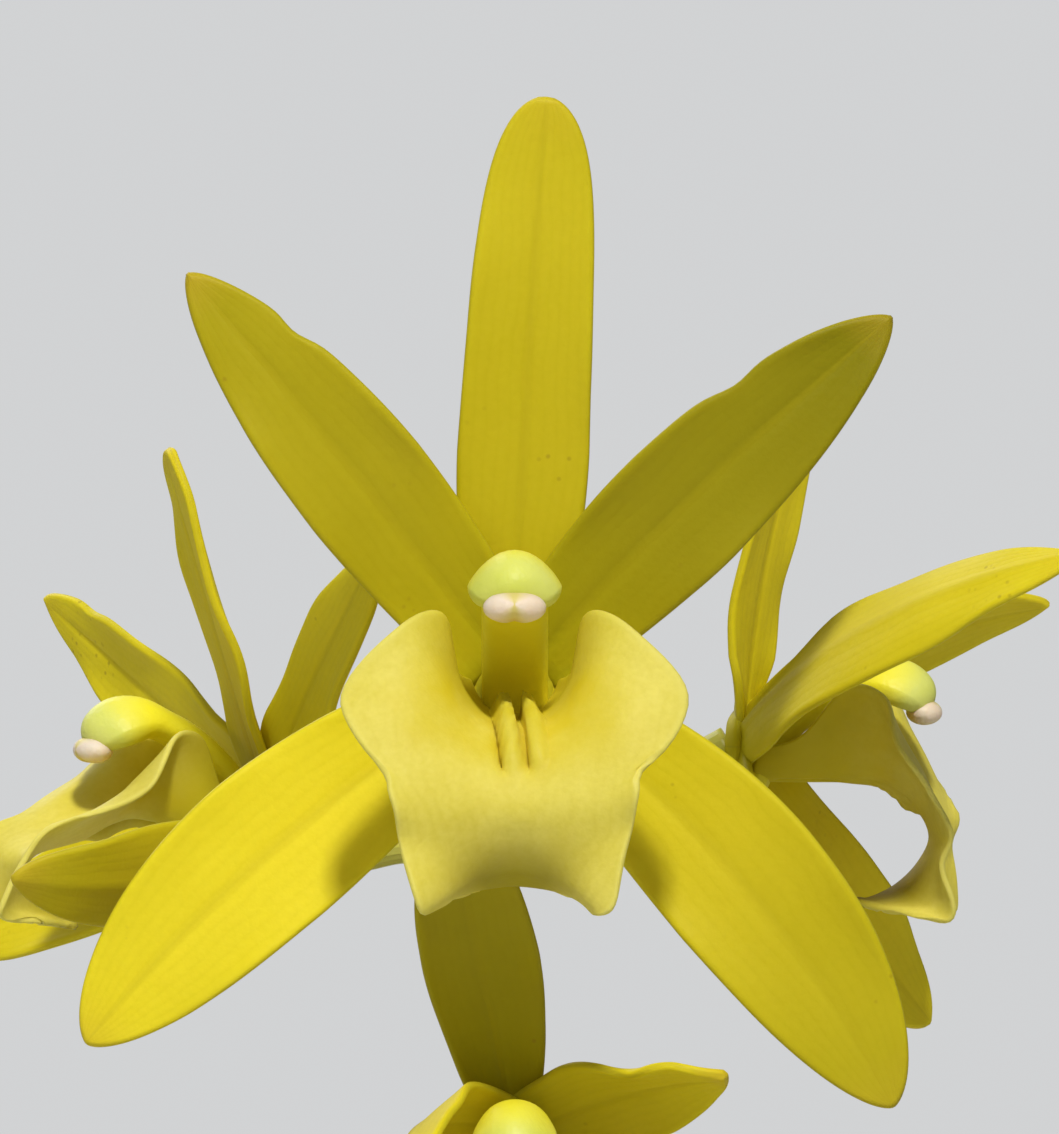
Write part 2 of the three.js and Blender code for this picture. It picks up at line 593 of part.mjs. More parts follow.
function columnGeometry(bloom) {
  const { steps, sides, footWide, growWide, footDeep, growDeep, endWide, endDeep } = COLUMN;
  const path = new THREE.CatmullRomCurve3(COLUMN_ROUTE);
  const rings = [];
  for (let i = 0; i <= steps; i += 1) {
    const t = i / steps;
    const middle = path.getPointAt(t);
    const along = path.getTangentAt(t);
    const up = vector(0, along.z, -along.y).normalize();
    const halfWide = (footWide + growWide * t) * (i === steps ? endWide : 1);
    const halfDeep = (footDeep + growDeep * t) * (i === steps ? endDeep : 1);
    rings.push(ring(sides, (angle) => middle.clone()
      .add(vector(halfWide * Math.cos(angle), 0, 0))
      .addScaledVector(up, halfDeep * Math.sin(angle))));
  }
  return pitched(loft(rings), COLUMN_ROUTE[0], bloom.columnPitch);
}

function capGeometry(bloom) {
  const rings = CAP.rings.map((share) => {
    const reach = Math.sqrt(1 - share * share);
    return ring(CAP.sides, (angle) => {
      const spread = reach * (1 + CAP.lobe * Math.cos(2 * angle));
      return vector(
        CAP.halfWide * spread * Math.cos(angle),
        -CAP.middle[1] - CAP.halfDeep * share,
        CAP.middle[0] + CAP.halfTall * spread * Math.sin(angle),
      );
    });
  });
  return pitched(loft(rings), COLUMN_ROUTE[0], bloom.columnPitch);
}

function bloomGroup(bloom) {
  const group = new THREE.Group();
  group.position.copy(MAIN_BLOOM).add(vector(...bloom.at));
  group.rotation.set(-radians(bloom.tilt), 0, radians(bloom.azimuth), 'ZXY');
  group.scale.setScalar(bloom.scale);
  return group;
}

// A pedicel from the rachis to the back of a bloom, thicker at the ovary behind the flower.
// Its seat and neck are given by their distance behind the hub and their rise.
function pedicelGeometry(bloom) {
  const group = bloomGroup(bloom);
  group.updateMatrixWorld(true);
  const behind = ([distance, rise]) => vector(0, HUB.back + distance, rise).applyMatrix4(group.matrixWorld);
  const end = behind(PEDICEL.seat);
  const neck = behind(PEDICEL.neck);
  const foot = stemAt(end.z - PEDICEL.drop);
  const middle = neck.clone().lerp(foot, 0.5).addScaledVector(UP, PEDICEL.arch);
  const path = new THREE.CatmullRomCurve3([foot, middle, neck, end]);
  const radius = (share) => THREE.MathUtils.lerp(PEDICEL.rachisRadius, PEDICEL.ovaryRadius, share);
  return tube(path, radius, PEDICEL.sides, PEDICEL.steps);
}

// Papery bracts that clasp the peduncle, given by height and heading: a short hollow-fronted
// scale at each joint, whose arc closes towards its tip.
const BRACTS = [[165, 200], [205, 20], [250, 220], [305, 40], [365, 210]];

function bractGeometry([height, heading]) {
  const out = vector(Math.cos(radians(heading)), Math.sin(radians(heading)), 0);
  const side = vector(-out.y, out.x, 0);
  const net = [];
  for (let i = 0; i <= BRACT.steps; i += 1) {
    const t = i / BRACT.steps;
    const axis = stemAt(height + BRACT.length * t);
    const reach = BRACT.footReach + BRACT.flare * t;
    const half = radians(BRACT.clasp * (1 - BRACT.taper * t * t));
    net.push([1, 0.5, 0, -0.5, -1].map((s) => axis.clone()
      .addScaledVector(out, reach * Math.cos(half * s))
      .addScaledVector(side, reach * Math.sin(half * s))));
  }
  return sheet(net, netNormals(net), () => BRACT.halfThickness);
}

function stemGeometry() {
  return surface(joined([
    tube(stemPath, stemRadius, STEM.sides, STEM.steps),
    ...BLOOMS.map(pedicelGeometry),
    ...BRACTS.map(bractGeometry),
  ]));
}

// One bark chip: a low five-sided block, wider at its foot, tipped and turned at random.
function chipGeometry(draw) {
  const tilt = BARK.chipTilt;
  const top = draw(...BARK.chipTop);
  const foot = draw(...BARK.chipFoot);
  const thick = draw(...BARK.chipThick);
  return new THREE.CylinderGeometry(top, foot, thick, BARK.chipSides)
    .scale(...BARK.chipStretch)
    .rotateZ(draw(-tilt, tilt))
    .rotateX(Math.PI / 2 + draw(-tilt, tilt))
    .rotateZ(draw(0, Math.PI));
}

// Height of the bark's top at a distance from the middle of the pot.
const barkTop = (distance) => BARK.level + BARK.dome * (1 - distance / potInnerRadius(BARK.level));

// Bark medium: a low-domed filling with chips scattered over the top and sunk in it, and holes
// that the bulbs, the roots and the flower stem stand in.
function barkGeometry() {
  const { level, dome, shoulder, segments } = BARK;
  const wallGap = 2 * GAP;
  const foot = POT.floor + GAP;
  const reach = potInnerRadius(level);
  const profile = [
    [0, foot], [potInnerRadius(POT.floor) - wallGap, foot],
    [reach - wallGap, level], [reach * shoulder, level + dome * shoulder], [0, level + dome],
  ].map(([r, z]) => new THREE.Vector2(r, z));
  let bark = solid(new THREE.LatheGeometry(profile, segments).rotateX(Math.PI / 2));
  const draw = dice(7);
  for (let k = 0; k < BARK.chips; k += 1) {
    const distance = Math.sqrt((k + 0.5) / BARK.chips) * (reach - BARK.chipMargin);
    const angle = k * BARK.goldenAngle + draw(-BARK.chipTurn, BARK.chipTurn);
    const chip = chipGeometry(draw).translate(
      distance * Math.cos(angle),
      distance * Math.sin(angle),
      barkTop(distance) - BARK.chipRaise,
    );
    bark = bark.add(solid(chip));
  }
  const well = { radius: STEM.baseRadius + 1.4, height: 60, sides: 12 };
  const [stemFoot, stemNext] = STEM_ROUTE;
  const hole = new THREE.CylinderGeometry(well.radius, well.radius, well.height, well.sides)
    .rotateX(Math.PI / 2)
    .translate(stemFoot.x, (stemFoot.y + stemNext.y) / 2, stemFoot.z + well.height / 2 - 2 * GAP);
  return surface(bark.subtract(clumpSolid(BULB.clearance)).subtract(solid(hole)));
}

// The clump with the sheaths of all leaves grown onto it.
function bulbClumpGeometry() {
  const bare = clumpSolid(0);
  return surface(LEAVES.reduce((clump, leaf) => clump.add(solid(leafSheath(leaf))), bare));
}

put(plant, 'pot', potGeometry(), material.clay);
put(plant, 'bark_medium', barkGeometry(), material.bark);
put(plant, 'bulb_clump', bulbClumpGeometry(), material.bulb);
LEAVES.forEach((leaf, i) => put(plant, `leaf_${i + 1}`, leafBlade(leaf), material.leaf));
put(plant, 'flower_stem', stemGeometry(), material.stem);
BLOOMS.forEach((bloom, i) => {
  const group = bloomGroup(bloom);
  put(group, `bloom_${i + 1}_tepals`, tepalGeometry(bloom), material.petal);
  put(group, `bloom_${i + 1}_lip`, lipGeometry(bloom), material.lip);
  put(group, `bloom_${i + 1}_column`, columnGeometry(bloom), material.column);
  put(group, `bloom_${i + 1}_anther_cap`, capGeometry(bloom), material.cap);
  plant.add(group);
});

export default plant;
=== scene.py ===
# %% [markdown]
# # A potted cymbidium orchid
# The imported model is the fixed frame: it says where the pot, the bulbs, the leaves and the
# blooms are. This script gives each of them a finer surface of the same form and a finish.
# Every shape is a function of two parameters, worked out with numpy as whole arrays.

# %% Load the frame
import bpy
import numpy as np
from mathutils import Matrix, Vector


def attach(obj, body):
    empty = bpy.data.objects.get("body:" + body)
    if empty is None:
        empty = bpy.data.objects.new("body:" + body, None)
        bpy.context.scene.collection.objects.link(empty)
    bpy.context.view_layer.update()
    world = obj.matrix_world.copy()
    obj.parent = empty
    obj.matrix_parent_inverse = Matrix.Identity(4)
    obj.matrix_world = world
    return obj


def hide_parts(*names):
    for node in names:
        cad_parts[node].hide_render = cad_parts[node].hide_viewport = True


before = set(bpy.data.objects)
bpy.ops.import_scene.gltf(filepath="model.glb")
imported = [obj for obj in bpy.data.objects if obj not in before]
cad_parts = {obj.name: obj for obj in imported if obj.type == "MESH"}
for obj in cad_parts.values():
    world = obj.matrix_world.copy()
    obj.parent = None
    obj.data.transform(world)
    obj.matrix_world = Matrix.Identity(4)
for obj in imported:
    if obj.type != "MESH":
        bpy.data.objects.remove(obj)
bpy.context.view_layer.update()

print("nodes in the frame:", len(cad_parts))

# %% [markdown]
# ## Units and small tools
# The plant is measured in millimetres and Blender in metres, so one factor is applied where a
# mesh is made. A surface could be built vertex by vertex, but arrays are shorter to write and
# hundreds of times faster, so each tool below takes and returns whole arrays.

# %% Units and vector tools
MM = 0.001
GAP = 0.3
UP = np.array([0.0, 0.0, 1.0])
FINE = np.linspace(0, 1, 401)


def unit(vectors):
    """Each vector divided by its own length."""
    length = np.linalg.norm(vectors, axis=-1, keepdims=True)
    return vectors / np.maximum(length, 1e-9)


def radians(angle):
    """Degrees to radians, for numbers and arrays."""
    return np.asarray(angle, float) * np.pi / 180


def heading(angle):
    """Level unit vector (cosine, sine, 0) of a compass angle in degrees."""
    return np.array([np.cos(radians(angle)), np.sin(radians(angle)), 0.0])


def stacked(*columns):
    """Columns broadcast to one shape and stacked as x, y, z or as u, v."""
    return np.stack(np.broadcast_arrays(*columns), -1).astype(float)


def full_turn(count):
    """Angles of a full turn in equal steps, as one row."""
    return np.linspace(0, 2 * np.pi, count, endpoint=False)[None]


# %% Curves of one number
def bell(distance, width):
    """Bell curve, exp(-(distance / width) squared): 1 in the middle, a third at the width."""
    return np.exp(-((distance / width) ** 2))


def smooth_step(value, low, high):
    """S curve from 0 at low to 1 at high: 3 w squared - 2 w cubed."""
    w = np.clip((value - low) / (high - low), 0, 1)
    return w * w * (3 - 2 * w)


def read_at(places, knots, table):
    """Rows of a table read at places between its knots, each column along a straight line."""
    return np.stack([np.interp(places, knots, column) for column in table.T], -1)


def walked(direction, length):
    """Path of a given length: the running sum of a direction that is known at the fine places."""
    step = direction * length / (len(FINE) - 1)
    return np.concatenate([[[0, 0, 0]], np.cumsum((step[1:] + step[:-1]) / 2, 0)])


# %% [markdown]
# ## From a grid of points to a mesh
# Two kinds of skin make the whole plant. A ring skin wraps round a path, like a tube, and is
# closed by a fan at each end. A sheet skin is a thin leaf: the same net is moved a little to
# both sides, and the two skins share their rim, which makes a rounded edge with no seam.

# %% Faces of a grid
def cells(index):
    """Four corners of each cell in a grid of vertex numbers."""
    corners = [index[:-1, :-1], index[:-1, 1:], index[1:, 1:], index[1:, :-1]]
    return np.stack(corners, -1).reshape(-1, 4)


def ring_skin(rings):
    """Closed skin through rings[i, k]: ring i joined to ring i + 1, a fan over each end."""
    steps, sides = rings.shape[:2]
    index = np.arange(steps * sides).reshape(steps, sides)
    wrapped = np.concatenate([index, index[:, :1]], 1)
    ends = np.stack([rings[0].mean(0), rings[-1].mean(0)])
    points = np.concatenate([rings.reshape(-1, 3), ends])
    first, last = steps * sides, steps * sides + 1
    bottom = np.stack([np.full(sides, first), wrapped[0, 1:], wrapped[0, :-1]], 1)
    top = np.stack([np.full(sides, last), wrapped[-1, :-1], wrapped[-1, 1:]], 1)
    around = np.abs(np.linspace(-1, 1, sides, endpoint=False))
    uv = stacked(np.linspace(0, 1, steps)[:, None], around[None])
    return points, [cells(wrapped), bottom, top], np.concatenate([uv.reshape(-1, 2), [[0, 0.5], [1, 0.5]]])


def normals_of(net):
    """Unit normal at each point of a net: the cross product of its two directions."""
    return unit(np.cross(np.gradient(net, axis=1), np.gradient(net, axis=0)))


def sheet_skin(net, half, along, s):
    """Closed skin of a thin sheet: net plus and minus its unit normal times half, rim shared.

    Its UV map is the place along it and the place across it, s, brought to the range 0 to 1.
    """
    rows, columns = net.shape[:2]
    shift = normals_of(net) * half[..., None]
    shift[[0, -1]] = 0
    shift[:, [0, -1]] = 0
    front = np.arange(rows * columns).reshape(rows, columns)
    back = front.copy()
    back[1:-1, 1:-1] = rows * columns + np.arange((rows - 2) * (columns - 2)).reshape(rows - 2, -1)
    points = np.concatenate([(net + shift).reshape(-1, 3), (net - shift)[1:-1, 1:-1].reshape(-1, 3)])
    uv = stacked(along, 0.5 + 0.5 * s)
    both = np.concatenate([uv.reshape(-1, 2), uv[1:-1, 1:-1].reshape(-1, 2)])
    return points, [cells(front), cells(back)[:, ::-1]], both


def across(count):
    """Places from -1 to 1 over a sheet, closer together at both edges: sine of an even run."""
    return np.sin(np.linspace(-np.pi / 2, np.pi / 2, count))[None]


def round_edge(distance, half):
    """Half thickness near an edge: a quarter circle whose radius is the half thickness."""
    inside = np.clip(distance / half, 0, 1)
    return half * np.sqrt(1 - (1 - inside) ** 2)


# %% Objects from skins
def together(skins):
    """Several skins as one: their points one after the other, the faces' numbers moved up."""
    points, faces, uvs, start = [], [], [], 0
    for places, groups, uv in skins:
        points.append(places)
        uvs.append(uv)
        faces.extend([group + start for group in groups])
        start += len(places)
    return np.concatenate(points), faces, np.concatenate(uvs)


def mesh_of(name, points, faces):
    """A mesh in metres from points in millimetres and groups of faces."""
    mesh = bpy.data.meshes.new(name)
    mesh.from_pydata((points * MM).tolist(), [], [face for group in faces for face in group.tolist()])
    return mesh


def shown(name, data):
    """A new object in the scene that shows the data."""
    item = bpy.data.objects.new(name, data)
    bpy.context.scene.collection.objects.link(item)
    return item


def put(name, skin, material, nodes=(), tone=None):
    """Make the object, give it its UV map and finish, attach it to the root and hide the frame nodes it
    stands for.
    """
    points, faces, uv = skin
    mesh = mesh_of(name, points, faces)
    mesh.shade_smooth()
    numbers = np.zeros(len(mesh.loops), np.int32)
    mesh.loops.foreach_get("vertex_index", numbers)
    layer = mesh.uv_layers.new(name="grain")
    layer.data.foreach_set("uv", uv[numbers].astype(np.float32).ravel())
    # A tone on the points is a bark chip's own tone, and on a blade its olive share of painted shade.
    if tone is not None:
        attribute = mesh.attributes.new("tone", "FLOAT", "POINT")
        attribute.data.foreach_set("value", tone.astype(np.float32))
    mesh.update()
    piece = shown(name, mesh)
    mesh.materials.append(material)
    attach(piece, "root")
    if nodes:
        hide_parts(*nodes)
    print(f"{name}: {len(mesh.polygons)} faces")
    return piece


# %% [markdown]
# ## Curves through given points
# Stems and roots follow a few given points. A Catmull-Rom curve passes
# through each of them; spacing its knots by the square root of the distance keeps it from
# looping where the points are unevenly spaced. It is then resampled at equal steps of length.

# %% Smooth routes and tubes
SAMPLES_A_KNOT = 40


def with_ends(knots):
    """One more knot at each end, mirrored about the end, for the curve to lean on."""
    return np.concatenate([2 * knots[:1] - knots[1:2], knots, 2 * knots[-1:] - knots[-2:-1]])


def route(points, steps):
    """Equal steps along a centripetal Catmull-Rom curve through the points."""
    knots = np.asarray(points, float)
    ends = with_ends(knots)
    spacing = np.linalg.norm(np.diff(ends, axis=0), axis=1) ** 0.5
    place = np.linspace(0, len(knots) - 1, SAMPLES_A_KNOT * len(knots))
    i = np.clip(place.astype(int), 0, len(knots) - 2)
    w = (place - i)[:, None]
    before, start, end, after = (ends[i + k] for k in range(4))
    d0, d1, d2 = (spacing[i + k][:, None] for k in range(3))
    leave = ((start - before) / d0 - (end - before) / (d0 + d1) + (end - start) / d1) * d1
    arrive = ((end - start) / d1 - (after - start) / (d1 + d2) + (after - end) / d2) * d1
    curve = ((2 * w**3 - 3 * w**2 + 1) * start + (w**3 - 2 * w**2 + w) * leave
             + (3 * w**2 - 2 * w**3) * end + (w**3 - w**2) * arrive)
    run = np.concatenate([[0], np.cumsum(np.linalg.norm(np.diff(curve, axis=0), axis=1))])
    return read_at(np.linspace(0, run[-1], steps), run, curve)


def tube(path, radius, sides, plane):
    """Ring skin round a path: centre + radius times (cosine of side + sine of rise)."""
    tangent = unit(np.gradient(path, axis=0))
    side = unit(np.cross(tangent, np.cross(plane, tangent)))
    rise = np.cross(tangent, side)
    angle = full_turn(sides)[..., None]
    ring = np.cos(angle) * side[:, None] + np.sin(angle) * rise[:, None]
    return ring_skin(path[:, None] + np.broadcast_to(radius, (len(path), sides))[..., None] * ring)


# %% [markdown]
# ## Node tools
# A material is a small program, and these helpers write its nodes in one line each. Effects
# that several finishes share are node groups, made once; they put out masks and heights, and
# the shader itself stays in the material, where an exporter can read it.

# %% Writing nodes
def feed(tree, socket, value):
    """Link a socket to the value if that is a socket too, or else set it."""
    if isinstance(value, bpy.types.NodeSocket):
        tree.links.new(value, socket)
    else:
        socket.default_value = value


def add(tree, kind, inputs=None, **settings):
    """A node of the kind, with settings, and inputs given as values or as sockets to link."""
    item = tree.nodes.new(kind)
    for name, value in settings.items():
        setattr(item, name, value)
    for name, value in (inputs or {}).items():
        feed(tree, item.inputs[name], value)
    return item


def maths(tree, operation, *values):
    """Output of one Math node: the operation on one or two values or sockets."""
    return add(tree, "ShaderNodeMath", dict(enumerate(values)), operation=operation).outputs[0]


def product(tree, first, *others):
    """Several values multiplied."""
    for value in others:
        first = maths(tree, "MULTIPLY", first, value)
    return first


def summed(tree, first, *others):
    """Several values added."""
    for value in others:
        first = maths(tree, "ADD", first, value)
    return first


def weighed(tree, *pairs):
    """The sum of value x share over the pairs."""
    return summed(tree, *(product(tree, value, share) for value, share in pairs))


def mixed(tree, share, first, second):
    """Colour output of a blend of two colours or sockets by a share."""
    item = add(tree, "ShaderNodeMix", data_type="RGBA")
    named = {socket.identifier: socket for socket in (*item.inputs, *item.outputs)}
    feed(tree, named["Factor_Float"], share)
    for slot, colour in (("A_Color", first), ("B_Color", second)):
        feed(tree, named[slot], (*colour, 1) if isinstance(colour, tuple) else colour)
    return named["Result_Color"]


def spread(tree, value, low, high, to_low=0.0, to_high=1.0):
    """A value stretched from low..high to another range, held at its ends."""
    inputs = {"Value": value, "From Min": low, "From Max": high, "To Min": to_low, "To Max": to_high}
    return add(tree, "ShaderNodeMapRange", inputs).outputs["Result"]


def banded(tree, colour, *bands):
    """Paints laid over a colour in turn.

    A band is a socket, the two places between which its share runs, both shares and the paint.
    """
    for place, low, high, at_low, at_high, paint in bands:
        colour = mixed(tree, spread(tree, place, low, high, at_low, at_high), colour, paint)
    return colour


# %% Places, noise and groups
def object_place(tree):
    """Place in the object's own space, in metres."""
    return add(tree, "ShaderNodeTexCoord").outputs["Object"]


def object_height(tree):
    """Height in the object's own space, in metres."""
    return add(tree, "ShaderNodeSeparateXYZ", {0: object_place(tree)}).outputs["Z"]


def noise(tree, scale, detail, roughness=0.5):
    """Noise from 0 to 1 in object space."""
    inputs = {"Vector": object_place(tree), "Scale": scale, "Detail": detail, "Roughness": roughness}
    return add(tree, "ShaderNodeTexNoise", inputs).outputs[0]


def own_tone_and_painted_shade(tree):
    """The stored tone: a bark chip's own tone, and a blade's olive share of painted shade."""
    return add(tree, "ShaderNodeAttribute", attribute_name="tone").outputs["Fac"]


def new_group(name, inputs, outputs):
    """An empty node group with named float sockets, and the sockets of its two end nodes."""
    group = bpy.data.node_groups.new(name, "ShaderNodeTree")
    for socket, value in inputs.items():
        made = group.interface.new_socket(socket, in_out="INPUT", socket_type="NodeSocketFloat")
        made.default_value = value
    for socket in outputs:
        group.interface.new_socket(socket, in_out="OUTPUT", socket_type="NodeSocketFloat")
    return group, group.nodes.new("NodeGroupInput").outputs, group.nodes.new("NodeGroupOutput").inputs


def use(tree, group, **inputs):
    """The group placed in a material with its own values; gives its output sockets."""
    return list(add(tree, "ShaderNodeGroup", inputs, node_tree=group).outputs)


# %% [markdown]
# ## Shared effects
# Petals, lips and leaves all show fine veins that run lengthwise, so one group draws them: a
# sine of the place across the sheet, bent by a little noise and sharpened by a power. A second
# group mixes a broad and a fine noise for the uneven tone of anything that grew.

# %% Vein group
def vein_group():
    """Vein mask = (1 - |sine(across x count)|) to a power, with across pushed by noise."""
    group, given, out = new_group(
        "lengthwise veins", {"Count": 9.0, "Wander": 0.05, "Sharpness": 5.0}, ["Mask", "Along", "Side"])
    uv = add(group, "ShaderNodeUVMap", uv_map="grain").outputs["UV"]
    along, over, _ = add(group, "ShaderNodeSeparateXYZ", {0: uv}).outputs
    push = product(group, maths(group, "SUBTRACT", noise(group, 160.0, 2.0), 0.5), given["Wander"])
    turn = product(group, given["Count"], np.pi)
    wave = maths(group, "SINE", product(group, summed(group, over, push), turn))
    line = maths(group, "SUBTRACT", 1.0, maths(group, "ABSOLUTE", wave))
    centred = maths(group, "SUBTRACT", product(group, over, 2.0), 1.0)
    group.links.new(maths(group, "POWER", line, given["Sharpness"]), out["Mask"])
    group.links.new(along, out["Along"])
    group.links.new(maths(group, "ABSOLUTE", centred), out["Side"])
    return group


VEINS = vein_group()


# %% Mottle group
def mottle_group():
    """Two noises in object space: broad patches and a fine grain, each from 0 to 1."""
    group, given, out = new_group("grown mottle", {"Broad": 60.0, "Fine": 900.0}, ["Patches", "Grain"])
    for size, detail, result in (("Broad", 3.0, "Patches"), ("Fine", 2.0, "Grain")):
        group.links.new(spread(group, noise(group, given[size], detail), 0.3, 0.7), out[result])
    return group


MOTTLE = mottle_group()


# %% Speck group
def speck_group():
    """Few small dots: a noise chooses the places where dots of a Voronoi pattern may show."""
    group, given, out = new_group("sparse specks", {"Size": 900.0}, ["Mask"])
    pattern = {"Vector": object_place(group), "Scale": given["Size"]}
    distance = add(group, "ShaderNodeTexVoronoi", pattern).outputs["Distance"]
    dot = spread(group, distance, 0.10, 0.24, 1.0, 0.0)
    chosen = spread(group, noise(group, 130.0, 1.0), 0.64, 0.72)
    group.links.new(product(group, dot, chosen), out["Mask"])
    return group


SPECKS = speck_group()
print("shared effects:", ", ".join(group.name for group in (VEINS, MOTTLE, SPECKS)))


# %% [markdown]
# ## Finishes of the flower
# A cymbidium petal is waxy: a satin surface over soft tissue that lets some light through, so
# a little subsurface scattering warms its shadows. The yellow deepens at the foot and along the
# midline, where the darker colour is painted shade of the groove, and turns olive at the very
# edge; each blade also carries an olive share of its own that is painted shade, and age leaves a
# few brown specks. A painted picture could say the same, but masks made from the surface's own
# length and width fit every petal. The lip is paler, with golden patches on its ears and painted
# shade under the middle of its lobe; the column is golden, with a green hood, and the cap has an
# orange painted shade under its middle.

# %% Finish helper
def finished(name, look, **constants):
    """A material whose Principled shader holds constants in its own sockets.

    The look gives its colour and, for a relief, a height, its distance and its strength.
    """
    material = bpy.data.materials.new(name)
    material.use_nodes = True
    tree = material.node_tree
    shader = tree.nodes["Principled BSDF"]
    for socket, value in constants.items():
        shader.inputs[socket.replace("_", " ")].default_value = value
    colour, *relief = look(tree)
    tree.links.new(colour, shader.inputs["Base Color"])
    if relief:
        bump = add(tree, "ShaderNodeBump", dict(zip(("Height", "Distance", "Strength"), relief)))
        tree.links.new(bump.outputs[0], shader.inputs["Normal"])
    return material


def petal_look(tree):
    """Deep yellow on veins and patches, painted shade on the midline and in olive by tone, a few specks.
    """
    veins, along, side = use(tree, VEINS, Count=11.0, Wander=0.16, Sharpness=1.3)
    patches, grain = use(tree, MOTTLE, Broad=75.0, Fine=1900.0)
    specks = use(tree, SPECKS, Size=1100.0)[0]
    shade = weighed(tree, (patches, 0.48), (veins, 0.13), (grain, 0.14))
    yellow = mixed(tree, shade, (0.810, 0.660, 0.020), (0.640, 0.520, 0.005))
    # The olive that the stored tone mixes in is painted shade, set blade by blade.
    rimmed = banded(
        tree, mixed(tree, own_tone_and_painted_shade(tree), yellow, (0.215, 0.190, 0.001)),
        # Painted shade: a darker midline, where the groove lies.
        (side, 0.0, 0.13, 0.24, 0.0, (0.42, 0.34, 0.005)),
        (along, 0.0, 0.40, 0.35, 0.0, (0.50, 0.46, 0.005)),
        (side, 0.975, 0.995, 0.0, 0.35, (0.42, 0.36, 0.02)),
    )
    tip = product(tree, spread(tree, along, 0.90, 1.0, 0.0, 0.5), patches)
    tipped = mixed(tree, tip, rimmed, (0.56, 0.38, 0.03))
    dotted = mixed(tree, product(tree, specks, 0.45), tipped, (0.26, 0.16, 0.01))
    return dotted, weighed(tree, (grain, 0.6), (veins, -0.35)), 0.00006, 0.35


PETAL = finished(
    "waxy yellow petal", petal_look, Roughness=0.52, Subsurface_Weight=0.2, Subsurface_Scale=0.003,
    Subsurface_Radius=(1.0, 0.75, 0.05), Specular_IOR_Level=0.12)


# %% Lip, column and cap
def lip_look(tree):
    """Pale yellow, golden ear patches, a deep golden throat, paler free edges, painted shade under the
    lobe.
    """
    veins, along, side = use(tree, VEINS, Count=15.0, Wander=0.30, Sharpness=1.2)
    patches, grain = use(tree, MOTTLE, Broad=190.0, Fine=2300.0)
    shade = weighed(tree, (patches, 0.40), (veins, 0.10), (grain, 0.22))
    tone = mixed(tree, shade, (0.76, 0.65, 0.110), (0.58, 0.48, 0.032))
    ear = spread(tree, along, 0.36, 0.56, 1.0, 0.0)
    lower = spread(tree, side, 0.82, 0.55, 0.0, 1.0)
    golden = mixed(tree, product(tree, patches, product(tree, ear, lower)), tone, (0.66, 0.52, 0.016))
    deep = banded(
        tree, golden,
        (side, 0.93, 0.99, 0.0, 0.3, (0.80, 0.72, 0.20)),
        (along, 0.18, 0.34, 0.9, 0.0, (0.64, 0.53, 0.014)),
    )
    # Painted shade: the middle of the lobe is darkened where it curls under.
    under = spread(tree, along, 0.64, 0.78, 0.0, 0.9)
    painted_shade_middle = spread(tree, side, 0.25, 0.70, 1.0, 0.0)
    colour = mixed(tree, product(tree, under, painted_shade_middle), deep, (0.34, 0.28, 0.004))
    return colour, summed(tree, grain, product(tree, patches, 0.3)), 0.00005, 0.25


def column_look(tree):
    """Golden wax that turns a pale green towards the hood."""
    patches, grain = use(tree, MOTTLE, Broad=160.0, Fine=2000.0)
    _, along, _ = use(tree, VEINS, Count=4.0, Wander=0.02, Sharpness=1.0)
    deep = mixed(tree, patches, (0.90, 0.78, 0.020), (0.94, 0.83, 0.030))
    pale = mixed(tree, patches, (0.60, 0.64, 0.080), (0.72, 0.74, 0.18))
    return mixed(tree, spread(tree, along, 0.62, 0.78), deep, pale), grain, 0.00005, 0.5


def cap_look(tree):
    """Pinkish white lobes at both sides, cream between them, orange painted shade under the middle."""
    patches, grain = use(tree, MOTTLE, Broad=420.0, Fine=2600.0)
    _, along, side = use(tree, VEINS, Count=4.0, Wander=0.02, Sharpness=1.0)
    pink = mixed(tree, patches, (0.84, 0.73, 0.60), (0.84, 0.64, 0.46))
    pale = mixed(tree, spread(tree, side, 0.10, 0.60), (0.68, 0.56, 0.17), pink)
    # Painted shade: orange under the middle of the cap, where its groove lies.
    centre = spread(tree, side, 0.0, 0.30, 0.8, 0.0)
    lower = spread(tree, along, 0.52, 0.68, 1.0, 0.0)
    colour = mixed(tree, product(tree, centre, lower), pale, (0.62, 0.40, 0.10))
    return colour, grain, 0.00005, 0.5


LIP = finished(
    "pale yellow lip", lip_look, Roughness=0.58, Subsurface_Weight=0.22, Subsurface_Scale=0.003,
    Subsurface_Radius=(1.0, 0.8, 0.12), Specular_IOR_Level=0.25)
COLUMN = finished(
    "golden column", column_look, Roughness=0.48, Subsurface_Weight=0.3, Subsurface_Scale=0.004,
    Subsurface_Radius=(1.0, 0.9, 0.2), Specular_IOR_Level=0.3)
CAP = finished(
    "cream and pink cap", cap_look, Roughness=0.5, Subsurface_Weight=0.3, Subsurface_Scale=0.003,
    Subsurface_Radius=(1.0, 0.7, 0.4), Specular_IOR_Level=0.3)

# %% [markdown]
# ## Finishes of leaf, stem and bulb
# Leaves are darker and glossier than petals, with many close veins, a paler midrib and a
# yellowing tip. The flower stem is smooth and yellow green. Old leaf bases dry to a tan, fibrous
# skin on the lower part of a bulb, so its finish fades from tan to green with height.


# %% Leaf, stem and bulb
# Heights in metres between which a bulb's papery skin ends, and how ragged that border is.
PAPER_LOW, PAPER_HIGH, PAPER_RAGGED = 0.146, 0.158, 0.012


